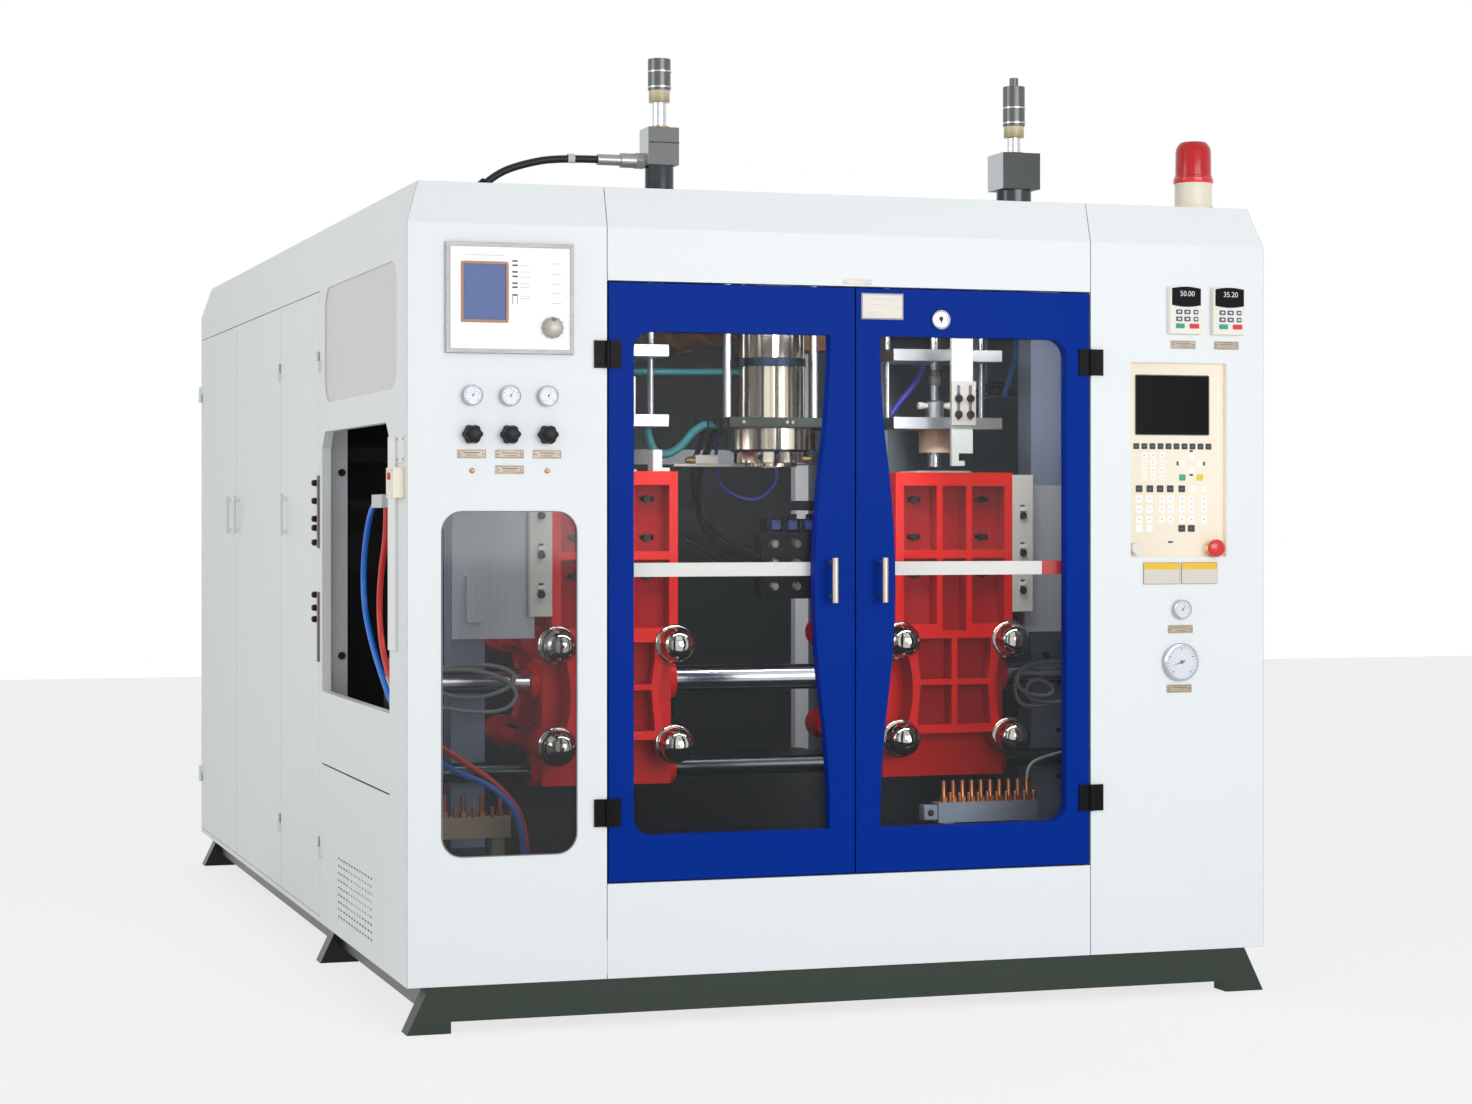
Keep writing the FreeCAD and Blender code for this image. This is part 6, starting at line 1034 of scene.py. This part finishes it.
# The bush is pale at its foot and brown up under the plate, as painted light and shade.
bush_amber_painted_light_and_shade = graded("bush_amber_painted_light_and_shade", (252, 236, 200), (176, 118, 62), 1250, 1300, 0.3, 0.3)
head_grey = film("head_grey", (104, 108, 106), 0.3, patches=0.4, shine=0.3)
head_green = film("head_green", (48, 58, 54), 0.3, patches=0.4, shine=0.3)
ram_dark = metal("ram_dark", (72, 78, 82), 0.1, (120, 120, 1), 0.02, 0.7)
gland_gold = metal("gland_gold", (190, 150, 92), 0.3, (120, 120, 120), 0.05)
RAM_BACK = 100  # the roof cylinders' axes, behind the front
rods = [(x + 122 * way, PARTING) for x in STATIONS.values() for way in (-1, 1)]
softened("blow_stations", 0.8, plate_milled,
         (chrome, either(*[near_line(*place, 8.5, "z", 1300, 1656) for place in rods])),
         (hook_grey, between("y", 405, 422.5)),
         (bush_amber_painted_light_and_shade, either(*[near_line(x, PARTING, 39, "z", 1244.5, 1299.5) for x in STATIONS.values()])),
         (ram_dark, either(*[near_line(x, RAM_BACK, 40.5, "z", 1600, 1856) for x in STATIONS.values()])),
         (head_grey, place_test((544.9, 64.9, 1856.9), (615.1, 135.1, 1939.1))),
         (head_green, place_test((1373.9, 53.9, 1830.9), (1466.1, 146.1, 1913.1))),
         (frame_black, both(between("x", high=210), between("z", 1780))),
         (screw_steel, place_test((438, 80, 1845), (544.8, 120, 1890))))
hooks, slots, heads, housings, ports = [], [], [], [], []
housing = [(14, 0), (22, 0), (22, 40), (18, 44), (14, 44), (14, 0)]
for x in STATIONS.values():
    hooks.append(slab((x - 31, x + 31), (402, 410.2), (1306, 1411)))
    for way in (-14, 16):
        outline = round_rectangle((x + way - 4, x + way + 4), (1318, 1402), 3.9, 4)
        slots.append(prism(outline, (401.2, 402.3)))
        heads += [bolt(x + way, 402, level, 9.5, 7) for level in (1370, 1332)]
    housings.append(spun(housing, (x, PARTING, 1328), "z", 32))
    for way, end in (("x", 48), ("-x", 43)):
        port = [(0, 14), (6.5, 14), (6.5, 30), (8.5, 30), (8.5, end), (0, end)]
        ports.append(spun(port, (x, PARTING, 1359), way, 20))
piece("hook_clamps", hooks, plate_silver, bevel=0.8)
# Grey pads shaped as the hook clamps' slots stand for the shade in them: painted shade.
piece("hook_clamp_slots", slots, edge_grey_and_slot_shade)
piece("hook_clamp_bolts", heads, bolt_black)
piece("pin_housings", housings, plate_milled, bevel=0.5)
piece("pin_ports", ports, striker_cream)

# ------------------------------------------------------------------------------
# Blow pins and roof cylinders
# Chromed pins driven through a black yoke from the cylinders. Above each cylinder's head come a
# gold gland, a bright rod, an amber band and a turned steel sleeve.
sleeve_steel = metal("sleeve_steel", (112, 114, 114), 0.16, (60, 60, 0.4), 0.03, 0.7)
coupling = [(13, 1408), (17, 1408), (18, 1409), (18, 1430), (16, 1432), (16, 1446), (13, 1446), (13, 1408)]
gland = [(16, -1), (24, -1), (24, 3), (20, 5), (16, 5), (16, -1)]
ring = [(24, 0), (26.2, 0), (26.2, 3), (24, 3), (24, 0)]
YOKE = (1557, 1593)  # heights of the yoke's faces, round the pin in its middle
for side, top, band in (("left", 1939, (1996, 2022)), ("right", 1913, (1951, 1977))):
    x = STATIONS[side]
    # The amber band grows lighter towards its top as painted light.
    amber = graded(side + "_band_painted_light", (158, 140, 98), (206, 196, 162), *band, 0.3)
    softened(side + "_blow_pin", 0.8, shaft_chrome,
             (frame_black,
              both(between("z", *YOKE),
                   lambda middles: np.hypot(middles[:, 0] - x, middles[:, 1] - PARTING) > 13.5)),
             (amber, between("z", band[0] + 0.2, band[1] - 0.2)),
             (sleeve_steel, between("z", band[1])))
    piece(side + "_pin_coupling", [spun(coupling, (x, PARTING, 0))], sleeve_steel,
          side + "_blow_pin")
    piece(side + "_rod_gland", [spun(gland, (x, RAM_BACK, top), "z", 40)], gland_gold)
    piece(side + "_sleeve_rings", [spun(ring, (x, RAM_BACK, band[1] + rise), "z", 40) for rise in (6, 40)],
          chrome, side + "_blow_pin")
seam = edging(round_rectangle((545.3, 614.7), (65.3, 134.7), 2, 3), 0.7, (1904, 1907), "z")
piece("left_head_seam", [seam], ink_dark)
HOSE_LEVEL = 1867
piece("left_head_nut", [prism(hexagon(19, RAM_BACK, HOSE_LEVEL), (524, 544.6), "x"),
                        prism(hexagon(15, RAM_BACK, HOSE_LEVEL), (506, 524), "x")],
      screw_steel, bevel=0.8)
hose_band = film("hose_band", (196, 198, 196), 0.4)
band = spun([(8.6, 0), (10.4, 0), (10.4, 15), (8.6, 15), (8.6, 0)], (372, RAM_BACK, HOSE_LEVEL), "x", 24)
piece("roof_hose_band", [band], hose_band)

# ------------------------------------------------------------------------------
# Extruder
# A steel barrel in tan heater covers, a grey gearbox and motor and a bright sheet hopper. The covers
# go from tan at the top to dark brown lower down, as painted light and shade.
gearbox_grey = film("gearbox_grey", (92, 98, 104), 0.4)
# Tan at the top, darkening to brown lower down: painted light and shade.
heater_tan_painted_shade = graded("heater_tan_painted_shade", (140, 84, 50), (238, 190, 118), 1520, 1640, 0.55)
softened("extruder", 1.0, plate_milled,
         (gearbox_grey, both(between("y", 2239), between("z", high=1646))),
         (heater_tan_painted_shade, near_line(MIDDLE, 1585, 66, "y", 779, 1721)))
piece("heater_cover", [prism(round_rectangle((1062, 1240), (1500, 1640), 12, 4), (800, 960))],
      heater_tan_painted_shade, bevel=2)

# ------------------------------------------------------------------------------
# Hydraulic unit and valves
# A dark green oil tank and a black valve block whose solenoids have blue coils.
tank_green = film("tank_green", (44, 58, 60), 0.38, patches=0.3, shine=0.3)
coil_blue = film("coil_blue", (72, 96, 186), 0.4)
softened("hydraulic_unit", 2.0, tank_green, (frame_black, between("y", high=1095)))
valves, coils, plugs = [], [], []
for step, x in enumerate((1135, 1180, 1225, 1270)):
    valves.append(slab((x, x + 34), (1035, 1085), (1049.5, 1084 + 6 * (step % 2))))
    coils.append(slab((x + 5, x + 29), (1004, 1035.5), (1056, 1080)))
    plugs.append(slab((x + 9, x + 25), (996, 1016), (1079.5, 1096)))
piece("valve_bodies", valves, frame_black, bevel=1.5)
piece("valve_coils", coils, coil_blue, bevel=2)
piece("valve_plugs", plugs, bolt_black, bevel=1.5)
gauge_ports = [spun([(0, 0), (12, 0), (12, 16), (9, 18), (9, 26), (0, 26)], (x, 1030.4, z), "-y", 20)
               for x in (1150, 1210, 1270) for z in (912, 972, 1020)]
piece("valve_ports", gauge_ports, screw_steel)

# ------------------------------------------------------------------------------
# Water manifolds and air valves
# Blue-grey bars with copper nozzles, and a pale plate that carries the air valves and the arm of
# the two air hoses.
manifold_blue = metal("manifold_blue", (158, 172, 192), 0.34, (4, 200, 200), 0.05, 0.5)
manifold_tan = film("manifold_tan", (196, 178, 150), 0.45)
copper = metal("copper", (206, 132, 84), 0.24, (120, 120, 6), 0.04)
NOZZLES_FOOT = 425.5
softened("water_manifolds", 0.8, manifold_blue,
         (manifold_tan, both(between("x", high=300), between("z", high=NOZZLES_FOOT))),
         (copper, between("z", NOZZLES_FOOT)))
collars = []
plug = [(0, 424.9), (5, 424.9), (5, 446), (3.5, 448), (0, 448)]
for start, count in ((1308, 10), (40, 6)):
    pitch = 210 / (count - 1)
    for step in range(count):
        x = start + 20 + pitch * step
        collars.append(prism(hexagon(10, x, 300), (424.9, 437), "z"))
        collars.append(spun(plug, (x + pitch / 2 - 0.5, 287, 0), "z", 16))
piece("nozzle_nuts", collars, copper, bevel=0.4)
piece("manifold_end", [slab((1272, 1308.2), (284, 316), (384, 420))], manifold_blue,
      bevel=3)
# A near black disc for the end's hole, as painted shade.
piece("manifold_end_hole", [spun(disc(8, -0.4, 0.6), (1289, 284, 402), "-y", 24)], slot_painted_shade)
plate_pale = film("plate_pale", (196, 200, 202), 0.4, patches=0.2)
valve_white = film("valve_white", (226, 228, 228), 0.4)
softened("air_valves", 0.8, plate_pale, (valve_white, place_test((39.2, 215, 770), (66.8, 295, 1200))),
         (bolt_black, place_test((26, 215, 770), (39.1, 295, 1200))))
plate_bolts = [spun(disc(6.5, 0, 13), (67.2, 207, level), "-x", 18)
               for level in (1168, 1119, 1074, 1039, 942, 901, 866, 825)]
piece("plate_bolts", plate_bolts, bolt_black)

# ------------------------------------------------------------------------------
# Hatch fittings
# Guide strips screwed beside the hatch, a white plate and a cream interlock switch with a red key.
strip_white = film("strip_white", (236, 238, 236), 0.4)
switch_cream = film("switch_cream", (240, 232, 214), 0.4)
softened("hatch_fittings", 1.0, strip_white, (switch_cream, between("y", high=98)))
piece("interlock_plate", [slab((-3, 0.2), (22, 99), (1204, 1263))], strip_white,
      bevel=1)
knob = [(0, -0.5), (8, -0.5), (8, 5), (6.5, 6.5), (0, 6.5)]
piece("interlock_key", [spun(knob, (-26, 58, 1176), "-x", 24)], stop_red)
fixings = [spun([(0, -0.5), (3.6, -0.5), (3, 1.6), (0, 2)], (-3, y, z), "-x", 14)
           for y in (30, 91) for z in (1212, 1255)]
fixings += [spun([(0, -0.5), (3.2, -0.5), (2.6, 1.2), (0, 1.5)], (-26, y, z), "-x", 14)
            for y in (30, 88) for z in (1136, 1188)]
piece("interlock_screws", fixings, screw_steel)
edge_strips = [slab((-5, 0.2), (1070.5, 1090), span) for span in ((1013, 1190), (735, 905))]
piece("edge_strips", edge_strips, plate_dark, "cabinet_door_1", 0.6)
edge_bolts = [spun([(0, 0), (8, 0), (8, 10), (5, 14), (0, 14)], (0.2, 1112, z), "-x", 18)
              for z in (1172, 1128, 1084, 1062, 1026, 898, 866, 838)]
piece("edge_bolts", edge_bolts, bolt_black, "cabinet_door_1")

# ------------------------------------------------------------------------------
# Loose hoses inside
# Grey water hoses that loop beside the clamps, black cables round the die, a blue hose under it
# and blue, black and red lines over the oil tank.
hose_grey = film("hose_grey", (150, 158, 156), 0.3)
hose_teal = film("hose_teal", (46, 138, 146), 0.4)
hose_indigo = film("hose_indigo", (52, 50, 178), 0.3)
# Each hose has its radius, material, slot and stiffness, and then the places that steer it.
INNER_HOSES = {
    "water_loop_1": (5, hose_grey, "hose_black", "medium", [(1888, 548, 716), (1850, 548, 735),
        (1750, 546, 738), (1640, 542, 732), (1612, 542, 700), (1622, 542, 664), (1690, 541, 648),
        (1716, 540, 664), (1690, 540, 690), (1650, 540, 694), (1634, 546, 650), (1700, 548, 630),
        (1800, 548, 650), (1888, 550, 670)]),
    "water_loop_2": (5, hose_grey, "hose_black", "medium", [(1888, 550, 690), (1840, 550, 660),
        (1740, 550, 636), (1640, 550, 622), (1614, 550, 650), (1614, 548, 700), (1640, 551, 722),
        (1720, 552, 716), (1810, 552, 722), (1888, 552, 736)]),
    "water_drop": (4, hose_grey, "hose_black", "medium", [(1888, 546, 700), (1868, 530, 740),
        (1826, 500, 772), (1810, 470, 750), (1806, 430, 690), (1700, 350, 540), (1572, 312, 520),
        (1538, 300, 500), (1538, 300, 474)]),
    "left_water_loop_1": (5, hose_grey, "hose_black", "medium", [(112, 548, 700), (150, 548, 735),
        (240, 542, 742), (330, 540, 724), (374, 541, 680), (340, 544, 640), (250, 546, 640),
        (160, 548, 660), (112, 550, 650)]),
    "left_water_loop_2": (5, hose_grey, "hose_black", "medium", [(112, 552, 730), (170, 552, 690),
        (260, 551, 668), (350, 551, 690), (370, 552, 730), (300, 552, 752), (180, 552, 748),
        (112, 552, 704)]),
    "die_cable_1": (9, hose_black, "hose_black", "stiff", [(905, 735, 1299), (905, 770, 1270),
        (908, 860, 1215), (912, 900, 1150), (930, 940, 1075), (1000, 985, 1010), (1060, 1020, 985),
        (1122, 1050, 980)]),
    "die_cable_2": (7, hose_black, "hose_black", "stiff", [(880, 735, 1299), (880, 790, 1262),
        (890, 870, 1200), (905, 920, 1130), (960, 960, 1060), (1050, 1010, 1010), (1122, 1060, 1010)]),
    "frame_cable": (6, hose_black, "hose_black", "medium", [(300, 704, 1120), (420, 850, 1110),
        (560, 900, 1098), (720, 930, 1080), (860, 960, 1050), (960, 1000, 1000), (1040, 1030, 960),
        (1122, 1060, 940)]),
    "die_hose": (4, hose_indigo, "hose_blue", "medium", [(1085, 735, 1299), (1092, 790, 1270),
        (1108, 862, 1220), (1104, 870, 1166), (1060, 872, 1130), (1000, 872, 1138), (955, 868, 1170),
        (925, 800, 1262), (920, 735, 1299)]),
    "teal_sleeve": (10, hose_teal, "hose_blue", "stiff", [(849, 620, 1310), (822, 628, 1300),
        (796, 634, 1262), (760, 640, 1236), (728, 644, 1240), (712, 644, 1270), (706, 640, 1300)]),
    "teal_line": (8, hose_teal, "hose_blue", "stiff", [(309, 668, 1436), (420, 692, 1436), (620, 700, 1437),
        (780, 696, 1437), (880, 640, 1436), (936, 620, 1436)]),
    "tank_line_1": (8, hose_blue, "hose_blue", "medium", [(1842, 1090, 1655), (1846, 1096, 1600),
        (1868, 1130, 1530), (1862, 1160, 1460), (1846, 1170, 1408)]),
    "tank_line_2": (8, hose_blue, "hose_blue", "medium", [(1742, 1090, 1655), (1744, 1096, 1600),
        (1772, 1140, 1520), (1782, 1168, 1450), (1790, 1176, 1408)]),
    "tank_cable_1": (10, hose_black, "hose_black", "medium", [(1800, 1260, 1407), (1802, 1240, 1428),
        (1850, 1200, 1446), (1910, 1180, 1420), (1952, 1170, 1350), (1966, 1160, 1284), (1980, 1160, 1270),
        (1996, 1160, 1270)]),
    "tank_cable_2": (7, hose_black, "hose_black", "medium", [(1780, 1250, 1407), (1784, 1222, 1424),
        (1840, 1184, 1440), (1896, 1164, 1412), (1940, 1154, 1330), (1960, 1146, 1252), (1980, 1146, 1240),
        (1996, 1146, 1240)]),
    "tank_cable_3": (5, hose_red, "hose_red", "medium", [(1840, 1280, 1407), (1846, 1256, 1430),
        (1896, 1222, 1440), (1940, 1206, 1400), (1962, 1194, 1326), (1980, 1190, 1312),
        (1996, 1190, 1312)]),
    "pin_air_hose": (8, hose_indigo, "hose_blue", "medium", [(1412, 648, 1463), (1410, 650, 1440),
        (1380, 654, 1398), (1342, 656, 1356), (1322, 656, 1328)]),
}
for name, (radius, material, slot, stiffness, places) in INNER_HOSES.items():
    places = [tuple(np.array(place) / 1000 + CORNER) for place in places]
    hose(name, radius / 1000, places, material)
